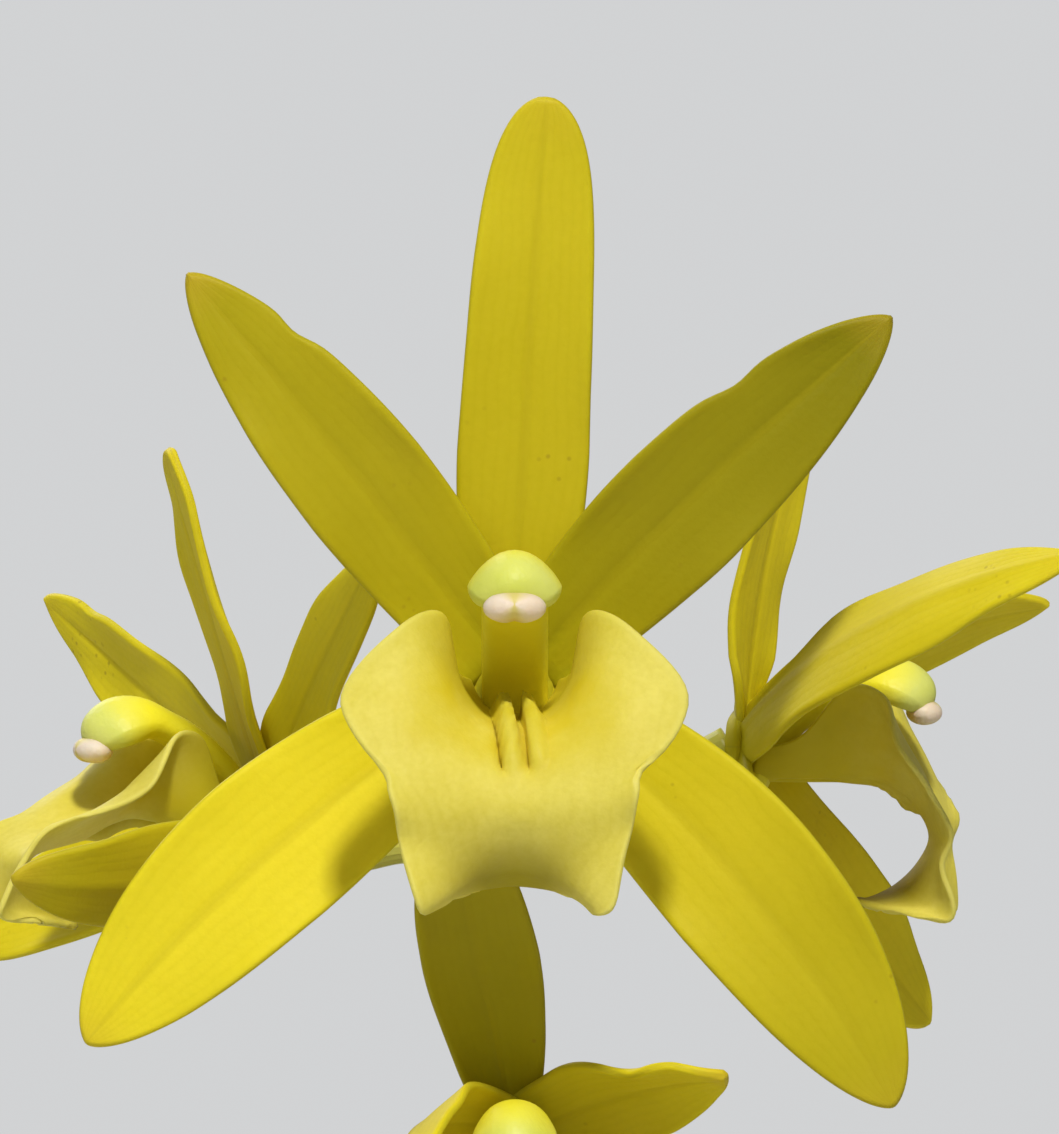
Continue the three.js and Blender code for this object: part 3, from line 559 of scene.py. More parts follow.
def leaf_look(tree):
    """Satin green with close veins, a pale midrib and foot and a warm tip."""
    veins, along, side = use(tree, VEINS, Count=22.0, Wander=0.02, Sharpness=1.6)
    patches, _ = use(tree, MOTTLE, Broad=24.0, Fine=1300.0)
    tone = mixed(tree, patches, (0.050, 0.150, 0.020), (0.085, 0.215, 0.032))
    colour = banded(
        tree, mixed(tree, product(tree, veins, 0.35), tone, (0.13, 0.28, 0.05)),
        (side, 0.0, 0.09, 0.6, 0.0, (0.17, 0.32, 0.07)),
        (along, 0.0, 0.22, 0.75, 0.0, (0.22, 0.34, 0.08)),
        (along, 0.955, 1.0, 0.0, 1.0, (0.34, 0.26, 0.07)),
    )
    return colour, veins, 0.00012, 0.6


def stalk_finish(name, low, high):
    """Smooth stalk between two tones, with faint lengthwise lines and soft patches."""
    def look(tree):
        patches, _ = use(tree, MOTTLE, Broad=70.0, Fine=1500.0)
        veins = use(tree, VEINS, Count=8.0, Wander=0.06, Sharpness=1.5)[0]
        lined = mixed(tree, product(tree, veins, 0.2), mixed(tree, patches, low, high), low)
        return lined, veins, 0.0001, 0.4

    return finished(name, look, Roughness=0.42, Subsurface_Weight=0.1, Subsurface_Scale=0.003,
                    Coat_Weight=0.08, Coat_Roughness=0.35)


def bulb_look(tree):
    """Green above, tan papery skin below, with a ragged border set by height and noise."""
    patches, _ = use(tree, MOTTLE, Broad=45.0, Fine=1200.0)
    veins = use(tree, VEINS, Count=16.0, Wander=0.05, Sharpness=1.4)[0]
    green = mixed(tree, patches, (0.15, 0.24, 0.05), (0.26, 0.36, 0.09))
    tan = mixed(tree, veins, (0.42, 0.31, 0.16), (0.24, 0.16, 0.08))
    ragged = summed(tree, object_height(tree), product(tree, patches, PAPER_RAGGED))
    paper = spread(tree, ragged, PAPER_LOW, PAPER_HIGH, 0.9, 0.0)
    return mixed(tree, paper, green, tan), veins, 0.0002, 0.5


LEAF = finished("strap leaf", leaf_look, Roughness=0.36, Coat_Weight=0.12, Coat_Roughness=0.3)
STALK = stalk_finish("green stalk", (0.24, 0.32, 0.05), (0.34, 0.40, 0.08))
PEDICEL = stalk_finish("yellow green flower stalk", (0.46, 0.46, 0.06), (0.58, 0.54, 0.08))
BRACT = stalk_finish("pale papery bract", (0.42, 0.40, 0.17), (0.56, 0.52, 0.28))
ROOT = stalk_finish("pale root", (0.52, 0.50, 0.38), (0.68, 0.66, 0.54))
BULB = finished("pseudobulb skin", bulb_look, Roughness=0.48, Coat_Weight=0.06, Coat_Roughness=0.4)

# %% [markdown]
# ## Finishes of pot and bark
# Fired clay is matt and never even: the kiln leaves it lighter and darker in broad clouds, the
# wheel leaves faint level rings, and water leaves a pale bloom of lime near the foot and under
# the rim. Each bark chip keeps a tone of its own, stored on its points when it is made.


# %% Clay and bark
# In metres: where the lime at the foot ends, and the middle and reach of its band under the rim.
LIME_FOOT, LIME_BAND, LIME_REACH = 0.035, 0.112, 0.012
# Radians a metre, which makes a throwing ring each 2.7 millimetres.
RING_RATE = 2300.0


def clay_look(tree):
    """Clouded terracotta with throwing rings in relief and lime bloom by height and noise."""
    patches, grain = use(tree, MOTTLE, Broad=16.0, Fine=520.0)
    tone = mixed(tree, patches, (0.37, 0.130, 0.050), (0.50, 0.195, 0.080))
    grained = mixed(tree, product(tree, grain, 0.3), tone, (0.30, 0.11, 0.045))
    height = object_height(tree)
    low = spread(tree, height, 0.0, LIME_FOOT, 0.8, 0.0)
    from_band = maths(tree, "ABSOLUTE", maths(tree, "SUBTRACT", height, LIME_BAND))
    band = spread(tree, from_band, 0.0, LIME_REACH, 0.6, 0.0)
    cloud = spread(tree, noise(tree, 34.0, 6.0, 0.7), 0.42, 0.66)
    lime = product(tree, summed(tree, low, band), cloud, 0.65)
    rings = product(tree, maths(tree, "SINE", product(tree, height, RING_RATE)), 0.15)
    limed = mixed(tree, lime, grained, (0.62, 0.50, 0.42))
    return limed, summed(tree, product(tree, grain, 0.8), rings), 0.0003, 0.5


def bark_look(tree):
    """Chips from near black to red brown by their own tone, with fibrous noise in relief."""
    patches, grain = use(tree, MOTTLE, Broad=140.0, Fine=900.0)
    base = mixed(tree, own_tone_and_painted_shade(tree), (0.030, 0.015, 0.008), (0.260, 0.135, 0.065))
    worn = mixed(tree, product(tree, patches, 0.25), base, (0.32, 0.20, 0.11))
    return worn, summed(tree, patches, grain), 0.0007, 0.8


CLAY = finished("terracotta", clay_look, Roughness=0.88)
BARK = finished("bark chips", bark_look, Roughness=0.92)
print("finishes:", len(bpy.data.materials))

# %% [markdown]
# ## The pot
# A pot is thrown on a wheel, so it is a profile turned about its axis. The corners of the
# profile are rounded by small curves. The drain holes are cut out with a Boolean, off the
# centre, because a turned surface alone can't have them.

# %% Pot sizes
POT = {
    "base": 54.0, "rim": 83.0, "height": 150.0, "wall": 6.0, "floor": 7.0,
    "rim_depth": 30.0, "rim_step": 4.0, "rim_lean": 1.0,
    "drains": 3, "drain": 6.0, "drain_ring": 30.0,
}
# Corners from the foot outside to the floor inside.
POT_ROUNDS = [2.0, 1.0, 2.2, 2.4, 2.4, 4.0]
POT_SIDES, POT_CREASE = 144, 50
WELL_BOTTOM, WELL_TOP, WELL_SIDES = -5.0, 15.0, 32
# A turned profile starts and ends this near the axis, and a fan closes the rest.
NEAR_AXIS = 0.5
LONGEST_ROUND = 0.45
RIM_BOTTOM = POT["height"] - POT["rim_depth"]
POT_SLOPE = (POT["rim"] - POT["rim_step"] - POT["base"]) / RIM_BOTTOM


def pot_inner(z):
    """Inner radius of the pot at a height."""
    return POT["base"] - POT["wall"] + POT_SLOPE * z


def rounded(corners, radius, steps=6):
    """A profile whose inner corners are replaced by a curve: start, corner and end blended."""
    corner = np.asarray(corners, float)
    sides = np.linalg.norm(np.diff(corner, axis=0), axis=1)
    longest = LONGEST_ROUND * np.minimum(sides[:-1], sides[1:])
    reach = np.minimum(np.asarray(radius, float), longest)[:, None]
    start = corner[1:-1] + unit(corner[:-2] - corner[1:-1]) * reach
    end = corner[1:-1] + unit(corner[2:] - corner[1:-1]) * reach
    t = np.linspace(0, 1, steps)[None, :, None]
    bend = (1 - t) ** 2 * start[:, None] + 2 * t * (1 - t) * corner[1:-1][:, None] + t**2 * end[:, None]
    return np.concatenate([corner[:1], bend.reshape(-1, 2), corner[-1:]])


def turned(profile, sides):
    """Ring skin of a profile of (radius, height) turned about the upright axis."""
    angle = full_turn(sides)
    r, z = profile[:, :1], profile[:, 1:]
    return ring_skin(stacked(r * np.cos(angle), r * np.sin(angle), z))


# %% Turn the pot
def drilled(piece, ring, radius, count):
    """Round holes cut through the floor by a Boolean whose result becomes the mesh."""
    angle = 2 * np.pi * (np.arange(count) + 0.5) / count
    points, faces, uv = turned(np.array([(radius, WELL_BOTTOM), (radius, WELL_TOP)]), WELL_SIDES)
    middles = stacked(ring * np.cos(angle), ring * np.sin(angle), 0)
    points, faces, _ = together([(points + middle, faces, uv) for middle in middles])
    cutter = shown("drain_cutter", mesh_of("drain_cutter", points, faces))
    cut = piece.modifiers.new("drain holes", "BOOLEAN")
    cut.object = cutter
    cut.solver = "EXACT"
    bpy.context.view_layer.update()
    shaped = bpy.data.meshes.new_from_object(piece.evaluated_get(bpy.context.evaluated_depsgraph_get()))
    piece.modifiers.clear()
    piece.data = shaped
    bpy.data.objects.remove(cutter)


def pot_piece():
    """The rounded profile turned, with its drain holes."""
    height, floor = POT["height"], POT["floor"]
    profile = rounded([
        (NEAR_AXIS, 0), (POT["base"], 0), (POT["base"] + POT_SLOPE * RIM_BOTTOM, RIM_BOTTOM),
        (POT["rim"], RIM_BOTTOM), (POT["rim"] + POT["rim_lean"], height), (pot_inner(height), height),
        (pot_inner(floor), floor), (NEAR_AXIS, floor),
    ], POT_ROUNDS)
    piece = put("clay_pot", turned(profile, POT_SIDES), CLAY, ["pot"])
    drilled(piece, POT["drain_ring"], POT["drain"], POT["drains"])
    piece.data.shade_smooth()
    piece.data.set_sharp_from_angle(angle=radians(POT_CREASE).item())


pot_piece()

# %% [markdown]
# ## The bark
# Hundreds of chips cover the top in three layers, the smallest uppermost. Each is a slab with
# pushed corners; all of a layer are made as one array and turned by one matrix product. They
# lie by the sunflower rule, which spaces points evenly on a disc.

# %% Bark sizes
LEVEL = 132.0
DOME = 5.0
SHOULDER = 0.6
WALL_GAP = 2 * GAP
GOLDEN = 2.39996
BED_TONE, BED_SIDES, BARK_CREASE = 0.05, 72, 35
# Each layer: how many chips, their size, the seed and the lift.
CHIP_LAYERS = [(150, 8.0, 5, -0.5), (260, 5.2, 6, 0.6), (240, 3.4, 8, 2.2)]
# The rings of a slab: their heights and their width shares.
CHIP_HEIGHTS = np.array([-0.5, -0.42, 0.42, 0.5])[None, :, None]
CHIP_TAPER = np.array([0.80, 1.0, 1.0, 0.78])[None, :, None]
CHIP = {"sides": 7, "flat": 0.62, "wander": 0.2, "push": 0.28, "rough": 0.07, "least": 0.75,
        "most": 1.3, "tilt": 0.32, "spin": 6.28}


def dome_height(radius):
    """Height of the bark's top: a low cone that flattens at the wall."""
    return LEVEL + DOME * np.clip(1 - radius / pot_inner(LEVEL), 0, 1)


def turns(angles):
    """Rotation matrices about X, then Y, then Z for rows of three angles."""
    (cx, cy, cz), (sx, sy, sz) = np.cos(angles).T, np.sin(angles).T
    one, zero = np.ones(len(angles)), np.zeros(len(angles))
    about_x = np.stack([one, zero, zero, zero, cx, -sx, zero, sx, cx], 1)
    about_y = np.stack([cy, zero, sy, zero, one, zero, -sy, zero, cy], 1)
    about_z = np.stack([cz, -sz, zero, sz, cz, zero, zero, zero, one], 1)
    x, y, z = (m.reshape(-1, 3, 3) for m in (about_x, about_y, about_z))
    return z @ y @ x


# %% Chips
def chip_skins(count, size, seed, lift):
    """Chips on the sunflower rule: slabs of four rings, pushed, scaled, turned and placed."""
    draw = np.random.default_rng(seed)
    k = np.arange(count)
    sides, push, rough, flat = CHIP["sides"], CHIP["push"], CHIP["rough"], CHIP["flat"]
    angle = k * GOLDEN + draw.uniform(-CHIP["wander"], CHIP["wander"], count)
    corner = full_turn(sides)[None]
    pushed = 1 + draw.uniform(-push, push, (count, 1, sides))
    pushed = pushed + draw.uniform(-rough, rough, (count, 4, sides))
    slab = stacked(np.cos(corner) * CHIP_TAPER * pushed, np.sin(corner) * CHIP_TAPER * pushed * flat,
                   CHIP_HEIGHTS + 0 * pushed)
    slab = slab * (size * draw.uniform(CHIP["least"], CHIP["most"], (count, 1, 1, 1))) * [1.0, 1.0, flat]
    tilt = draw.normal(0, CHIP["tilt"], (count, 2))
    matrices = turns(np.column_stack([tilt, draw.uniform(0, CHIP["spin"], count)]))
    slab = np.einsum("nij,nabj->nabi", matrices, slab)
    reach = np.linalg.norm(slab[..., :2], axis=-1).max((1, 2))
    wall = pot_inner(LEVEL - size) - reach - WALL_GAP
    ring = np.minimum(np.sqrt((k + 0.5) / count) * pot_inner(LEVEL), wall)
    place = stacked(ring * np.cos(angle), ring * np.sin(angle), dome_height(ring) + lift)
    skins = [ring_skin(one) for one in slab + place[:, None, None]]
    return skins, np.repeat(draw.uniform(0, 1, count), len(skins[0][0]))


def bark_piece():
    """The filling of the pot with three layers of chips over it."""
    foot, reach = POT["floor"] + GAP, pot_inner(LEVEL)
    bed = turned(np.array([
        (NEAR_AXIS, foot), (pot_inner(POT["floor"]) - WALL_GAP, foot), (reach - WALL_GAP, LEVEL),
        (reach * SHOULDER, LEVEL + DOME * SHOULDER), (NEAR_AXIS, LEVEL + DOME),
    ]), BED_SIDES)
    skins, tones = [bed], [np.full(len(bed[0]), BED_TONE)]
    for layer in CHIP_LAYERS:
        chips, tone = chip_skins(*layer)
        skins.extend(chips)
        tones.append(tone)
    piece = put("bark_chips", together(skins), BARK, ["bark_medium"], np.concatenate(tones))
    piece.data.set_sharp_from_angle(angle=radians(BARK_CREASE).item())


bark_piece()

# %% [markdown]
# ## The pseudobulbs
# A pseudobulb is a swollen stem that stores water: an egg with shallow ribs, standing half out
# of the bark. Each is a stack of rings whose radius follows a sine of the height, with the
# middle of the rings running sideways as the bulb leans.

# %% Bulbs, rhizome and roots
BULBS = [
    {"foot": (-34, 12), "lean": (-9, 2), "height": 66, "wide": 19, "deep": 15, "turn": 20},
    {"foot": (0, 27), "lean": (0, 7), "height": 72, "wide": 20, "deep": 15, "turn": -12},
    {"foot": (34, 9), "lean": (9, 1), "height": 64, "wide": 18, "deep": 15, "turn": -35},
    {"foot": (-12, -18), "lean": (-5, -4), "height": 46, "wide": 16, "deep": 13, "turn": 8},
]
BULB_FOOT = LEVEL - 14
BULB_RINGS, BULB_SIDES, LEAN_POWER = 49, 60, 1.5
# The part of the sine that is used, in half turns, and the powers that shape it.
SWELL = {"start": 0.13, "run": 0.80, "rise_power": 0.82, "power": 0.75}
# Depth shares of the broad and fine ribs, and of the leaf joints: their spacing and width.
RIBS = {"broad": 0.035, "broads": 6, "fine": 0.010, "fines": 17}
JOINT = {"depth": 0.018, "spacing": 0.2, "width": 0.012}


def bulb_swell(share):
    """Radius share of a bulb at a share of its height: a sine raised to three quarters."""
    return np.sin(np.pi * (SWELL["start"] + SWELL["run"] * share ** SWELL["rise_power"])) ** SWELL["power"]


def bulb_axis(bulb, share):
    """Middle of a bulb at a share of its height."""
    share = np.asarray(share, float)
    (x, y), (lean_x, lean_y) = bulb["foot"], bulb["lean"]
    run = share**LEAN_POWER
    return stacked(x + lean_x * run, y + lean_y * run, BULB_FOOT + share * bulb["height"])


def bulb_skin(bulb):
    """Rings of radius swell x (1 + rib x cosine of six turns), turned and leaned."""
    share = np.linspace(0, 1, BULB_RINGS)[:, None]
    angle = full_turn(BULB_SIDES)
    rib = 1 + RIBS["broad"] * np.cos(RIBS["broads"] * angle) + RIBS["fine"] * np.cos(RIBS["fines"] * angle)
    from_joint = share % JOINT["spacing"] - JOINT["spacing"] / 2
    reach = bulb_swell(share) * rib * (1 - JOINT["depth"] * bell(from_joint, JOINT["width"]))
    x, y = bulb["wide"] * reach * np.cos(angle), bulb["deep"] * reach * np.sin(angle)
    turn = radians(bulb["turn"])
    flat = stacked(x * np.cos(turn) - y * np.sin(turn), x * np.sin(turn) + y * np.cos(turn), 0)
    return ring_skin(flat + bulb_axis(bulb, share))


RHIZOME = [(-36, 12), (-12, -18), (0, 26), (34, 9)]
RHIZOME_RISE, RHIZOME_RADIUS = 7, 6.0
RHIZOME_STEPS, RHIZOME_SIDES = 50, 20
ROOT_STEPS, ROOT_SIDES = 60, 14
ROOTS = [
    [(-16, -26), (-27, -38), (-40, -44), (-50, -38)],
    [(36, -2), (43, -16), (42, -32), (34, -42)],
    [(-44, 22), (-50, 34), (-44, 48), (-30, 54)],
]
ROOT_HEIGHTS = (-1, 4.5, 3.5, -9)
ROOT_FORM = {"radius": 2.1, "loss": 0.5, "swelling": 0.12, "waves": 19}


def root_skin(points):
    """A tube that thins along its run, with slight swellings."""
    path = route([(x, y, LEVEL + z) for (x, y), z in zip(points, ROOT_HEIGHTS)], ROOT_STEPS)
    share = np.linspace(0, 1, ROOT_STEPS)[:, None]
    swelling = ROOT_FORM["swelling"] * np.sin(ROOT_FORM["waves"] * share)
    return tube(path, ROOT_FORM["radius"] - ROOT_FORM["loss"] * share + swelling, ROOT_SIDES, UP)


creeping = route([(x, y, BULB_FOOT + RHIZOME_RISE) for x, y in RHIZOME], RHIZOME_STEPS)
clump = [bulb_skin(bulb) for bulb in BULBS] + [tube(creeping, RHIZOME_RADIUS, RHIZOME_SIDES, UP)]
put("pseudobulbs", together(clump), BULB, ["bulb_clump"])
put("visible_roots", together([root_skin(points) for points in ROOTS]), ROOT)

# %% [markdown]
# ## The leaves
# A strap leaf could be a bent plane, but the look of one comes from three things: a V fold that
# opens away from the foot, an arch that steepens under the leaf's own weight, and a narrow
# pointed tip. The midrib is the running sum of a direction whose slope falls from start to end;
# the two halves rise from it by the fold. The lowest part is the sheath that stays on the bulb.

# %% Leaf table
# Each row: bulb, heading, distance from its axis, share of the bulb's height, length, slope at
# the foot, slope at the tip, width.
LEAVES = [
    (0, 180, 11, 0.79, 345, 81, -56, 16), (0, 206, 12, 0.70, 300, 70, -66, 15),
    (0, 146, 11, 0.84, 370, 84, -30, 17), (0, 236, 12, 0.66, 235, 60, -66, 14),
    (0, 108, 11, 0.76, 340, 77, -50, 16), (1, 90, 11, 0.74, 345, 76, -54, 16),
    (1, 124, 11, 0.86, 375, 85, -26, 17), (1, 62, 11, 0.86, 365, 85, -34, 17),
    (1, 172, 11, 0.92, 330, 87, 12, 16), (1, 14, 11, 0.92, 310, 87, 18, 16),
    (2, 2, 11, 0.80, 350, 81, -58, 16), (2, -28, 12, 0.70, 295, 68, -68, 15),
    (2, 34, 11, 0.84, 375, 83, -28, 17), (2, -60, 12, 0.66, 225, 58, -68, 14),
    (2, 66, 11, 0.74, 325, 74, -56, 16),
]
LEAF_JOINT, LEAF_TUCK = 0.11, 0.012
LEAF_ROWS, SHEATH_ROWS, LEAF_COLUMNS = 90, 18, 17
LEAF_HALF, SHEATH_CLASP = 0.55, 0.30
# Thickness share in the middle, and what it loses to the edges.
MIDDLE_THICK, EDGE_LOSS = 1.25, 0.5
# Powers that hold the arch back and bunch the rows at the tip.
ARCH_POWER, ROW_POWER = 1.35, 0.9
# Width share at the foot, the places where it is full and narrows from, and the least share.
LEAF_WIDTH = {"foot": 0.62, "full": 0.35, "narrow": 0.55, "least": 0.02}
# The fold's angle at the foot, what it loses and where it stops; how round and low the valley is.
FOLD = {"foot": 52, "loss": 34, "end": 0.45, "round": 0.006, "sunk": 0.0775}
# The edge's ripple: height, waves, and what shifts them from bulb to bulb and with the heading.
LEAF_RIPPLE, LEAF_WAVES, BULB_PHASE, HEADING_PHASE = 0.5, 3.1, 0.3, 90


# %% Leaf surface
def leaf_skin(leaf, first, last, rows, clasp=0.0):
    """Net of place + side x half x cosine(fold) x s + up x half x sine(fold) x |s|.

    A clasp makes it that much thicker and wider, for a sheath that holds the leaf's foot.
    """
    which, angle, distance, share, length, start, end, width = leaf
    out = heading(angle)
    slope = radians(start + (end - start) * FINE**ARCH_POWER)
    path = walked(np.cos(slope)[:, None] * out + np.sin(slope)[:, None] * UP, length)
    t = first + (last - first) * np.linspace(0, 1, rows) ** ROW_POWER
    place = bulb_axis(BULBS[which], share) + out * distance + read_at(t, FINE, path)
    lean = np.interp(t, FINE, slope)[:, None]
    up = np.cos(lean) * UP - np.sin(lean) * out
    t, s = t[:, None], across(LEAF_COLUMNS)
    foot, full, narrow, least = LEAF_WIDTH.values()
    swell = foot + (1 - foot) * np.sin(np.pi / 2 * np.minimum(t / full, 1))
    past = np.maximum((t - narrow) / (1 - narrow), 0)
    half = width / 2 * swell * np.maximum(1 - past**2, least) + clasp
    fold = radians(FOLD["foot"] - FOLD["loss"] * np.minimum(t / FOLD["end"], 1))
    wave = LEAF_WAVES * t + which * BULB_PHASE + angle / HEADING_PHASE
    ripple = LEAF_RIPPLE * np.sin(2 * np.pi * wave) * s**3
    valley = np.sqrt(s**2 + FOLD["round"]) - FOLD["sunk"]
    net = (place[:, None] - np.cross(UP, out) * (half * np.cos(fold) * s)[..., None]
           + up[:, None] * (half * np.sin(fold) * valley + ripple)[..., None])
    ends = length * np.minimum(t - t[0], t[-1] - t)
    edge = np.minimum((1 - np.abs(s)) * half, ends)
    thick = round_edge(edge, LEAF_HALF * (MIDDLE_THICK - EDGE_LOSS * np.abs(s)) + clasp)
    return sheet_skin(net, thick, t, s)


# %% Put the leaves
for number, leaf in enumerate(LEAVES, 1):
    strap = leaf_skin(leaf, LEAF_JOINT - LEAF_TUCK, 1.0, LEAF_ROWS)
    put(f"strap_leaf_{number}", strap, LEAF, [f"leaf_{number}"])
sheaths = [leaf_skin(leaf, 0.0, LEAF_JOINT, SHEATH_ROWS, SHEATH_CLASP) for leaf in LEAVES]
put("leaf_sheaths", together(sheaths), LEAF)

# %% [markdown]
# ## The flower stem
# One tall stalk rises from the foot of a bulb and carries every bloom on a short stalk of its
# own, thicker just behind the flower, where the seed pod would form. Papery bracts clasp it.

# %% Stem route
MAIN = np.array([0.0, -68.0, 570.0])
STEM_ROUTE = [
    (14, -30, 118), (14, -32, 150), (11, -38, 230), (7, -44, 320), (3, -47, 400),
    (0, -46, 460), (-2, -44, 510), (-2, -43.5, 545), (-1.5, -43, 572),
]
STEM_BASE, STEM_TIP, STEM_TAPER = 3.4, 1.5, 1.3
STEM_KNOTS = {"rise": 0.25, "count": 7.0, "width": 0.035}
STEM_STEPS, STEM_SIDES = 241, 20
STEM = route(STEM_ROUTE, STEM_STEPS)
share = np.linspace(0, 1, len(STEM))[:, None]
knots = STEM_KNOTS["rise"] * bell(share * STEM_KNOTS["count"] % 1 - 0.5, STEM_KNOTS["width"])
thickness = STEM_BASE + (STEM_TIP - STEM_BASE) * share**STEM_TAPER + knots
stalk = tube(STEM, thickness, STEM_SIDES, np.array([0, 1.0, 0]))
put("flower_stalk", stalk, STALK, ["flower_stem"])


def stem_at(height):
    """Place of the stem at a height, read off its route."""
    return read_at(height, STEM[:, 2], STEM)


# %% Bracts
# Each bract: its height and its heading.
BRACTS = [(165, 200), (205, 20), (250, 220), (305, 40), (365, 210)]
BRACT_LENGTH, BRACT_HALF = 34.0, 0.35
BRACT_REACH, BRACT_WIDENING = 2.4, 2.2
BRACT_ARC, BRACT_CLOSING = 80, 0.75
BRACT_ROWS, BRACT_COLUMNS = 25, 21


def bract_skin(height, angle):
    """A scale on a widening cylinder about the stem, its arc closing towards the tip."""
    out = heading(angle)
    t, s = np.linspace(0, 1, BRACT_ROWS)[:, None], -across(BRACT_COLUMNS)
    axis = stem_at(height + BRACT_LENGTH * t[:, 0])
    reach = BRACT_REACH + BRACT_WIDENING * t
    half = radians(BRACT_ARC * (1 - BRACT_CLOSING * t * t))
    arc = out * np.cos(half * s)[..., None] + np.cross(UP, out) * np.sin(half * s)[..., None]
    ends = BRACT_LENGTH * np.minimum(t, 1 - t)
    thick = round_edge(np.minimum((1 - np.abs(s)) * reach * half, ends), BRACT_HALF)
    return sheet_skin(axis[:, None] + arc * reach[..., None], thick, t, s)


bracts = [bract_skin(*bract) for bract in BRACTS]
put("stem_bracts", together(bracts), BRACT)

# %% [markdown]
# ## The blooms' forms
# Every bloom has the same plan: one sepal up, two petals beside it, two sepals below, a lip and
# a column. A blade's midrib is again a running sum of a turning direction, and its width a
# formula: it swells, falls a little and rounds off. Only the numbers differ from blade to blade.

# %% Blade shapes
# Width share: foot, place of the widest, fall after it, two powers that round the tip, and cup.
SHAPES = {
    "dorsal": (0.62, 0.38, 0.16, 6.0, 0.50, 0.10),
    "petal": (0.64, 0.46, 0.12, 2.4, 0.70, 0.15),
    "strap": (0.84, 0.46, 0.10, 2.6, 0.65, 0.10),
    "sepal": (0.44, 0.52, 0.10, 2.6, 0.65, 0.15),
}
BLADE_HALF = (0.5, 0.35)
LEAST_HALF_WIDTH = 0.12
FOOT_DISTANCE, TURN_REACH = 1.2, 0.2
# Broad waves and a fine frill: height, radians along, and the power that keeps it to the edge.
WAVE, FRILL = (0.35, 4 * np.pi, 3), (0.12, 23, 6)
# What shifts the frill of one edge from the other's, and how sharply each effect ends at the tip.
FRILL_SHIFT, WAVE_END, GROOVE_END = 2, 6, 4
MIDLINE_DEPTH, MIDLINE_WIDTH = 0.22, 0.12
# Rows and columns of a blade's net, and the power that bunches the rows at the tip.
BLADE_ROWS, BLADE_COLUMNS, TIP_POWER = 57, 25, 1.5


def blade_width(t, shape):
    """Width share along a blade: grow x (1 - fall x past) x (1 - past to a power) to a power."""
    base, widest, fall, tip, rounding, _ = SHAPES[shape]
    grow = base + (1 - base) * np.sin(np.pi / 2 * np.clip(t / widest, 0, 1))
    past = np.clip((t - widest) / (1 - widest), 0, 1)
    return grow * (1 - fall * past) * np.clip(1 - past**tip, 0, 1) ** rounding


def blade(kind, length, width, angle, lift, lift_tip, **extra):
    """The numbers of one petal or sepal, angles in degrees and sizes in millimetres."""
    given = dict(kind=kind, length=length, width=width, angle=angle, lift=lift, lift_tip=lift_tip)
    # The default tone is a small olive share of painted shade from foot to tip.
    return given | dict(bend=0.0, turn=0.0, twist=0.0, phase=0.0, nicks=(), tone=(0.15, 0.1)) | extra


# %% Blade surface
def blade_direction(form, t):
    """Unit direction of the midrib: angle and lift both run evenly along the blade."""
    angle = radians(form["angle"] + form["bend"] * t)
    lift = radians(form["lift"] + (form["lift_tip"] - form["lift"]) * t)
    return stacked(np.sin(angle) * np.cos(lift), -np.sin(lift), np.cos(angle) * np.cos(lift))


def blade_skin(form):
    """Net of midrib + side x half x s + normal x (cup x half x s squared + waves at the edge)."""
    start = radians(form["angle"])
    foot = np.array([np.sin(start), 0, np.cos(start)]) * FOOT_DISTANCE
    t = 1 - (1 - np.linspace(0, 1, BLADE_ROWS)) ** TIP_POWER
    place = foot + read_at(t, FINE, walked(blade_direction(form, FINE), form["length"]))
    angle = radians(form["angle"] + form["bend"] * t)
    flat_side = stacked(np.cos(angle), 0, -np.sin(angle))
    flat_normal = np.cross(flat_side, blade_direction(form, t))
    roll = (radians(form["turn"] + form["twist"] * t) * np.minimum(t / TURN_REACH, 1))[:, None]
    side = flat_side * np.cos(roll) + flat_normal * np.sin(roll)
    normal = flat_normal * np.cos(roll) - flat_side * np.sin(roll)
    t, s = t[:, None], across(BLADE_COLUMNS)
    half = np.maximum(form["width"] / 2 * blade_width(t, form["kind"]), LEAST_HALF_WIDTH)
    width = half * np.ones_like(s)
    for at, depth, reach, edge in form["nicks"]:
        width = width * (1 - depth * bell(t - at, reach) * np.clip(edge * s, 0, 1) ** 2)
    phase = radians(form["phase"])
    height, run, power = WAVE
    wave = height * np.sin(phase + run * t) * np.abs(s) ** power
    height, run, power = FRILL
    frill = height * np.sin(phase + run * t + FRILL_SHIFT * np.sign(s)) * np.abs(s) ** power
    groove = MIDLINE_DEPTH * bell(s, MIDLINE_WIDTH) * np.minimum(1, GROOVE_END * (1 - t))
    cup = SHAPES[form["kind"]][-1]
    depth = cup * half * s**2 + (wave + frill) * np.minimum(1, WAVE_END * (1 - t)) - groove
    net = place[:, None] + side[:, None] * (width * s)[..., None] + normal[:, None] * depth[..., None]
    edge = np.minimum((1 - np.abs(s)) * half, form["length"] * (1 - t))
    thick = round_edge(edge, BLADE_HALF[0] + (BLADE_HALF[1] - BLADE_HALF[0]) * np.abs(s))
    return sheet_skin(net, thick, t, s)


# %% Hub
HUB = {"radius": 3.6, "back": 1.2, "front": 0.8, "waist": 0.2, "back_share": 0.6, "front_share": 0.8,
       "axis": 0.1, "round": 0.5}
# The hub's olive share of painted shade, like a blade's tone.
HUB_PAINTED_SHADE = (0.3, 0.3)
# The hub takes the petal finish of this first part of a blade.
HUB_ALONG = 0.1
HUB_SIDES, HUB_CURVE = 24, 4


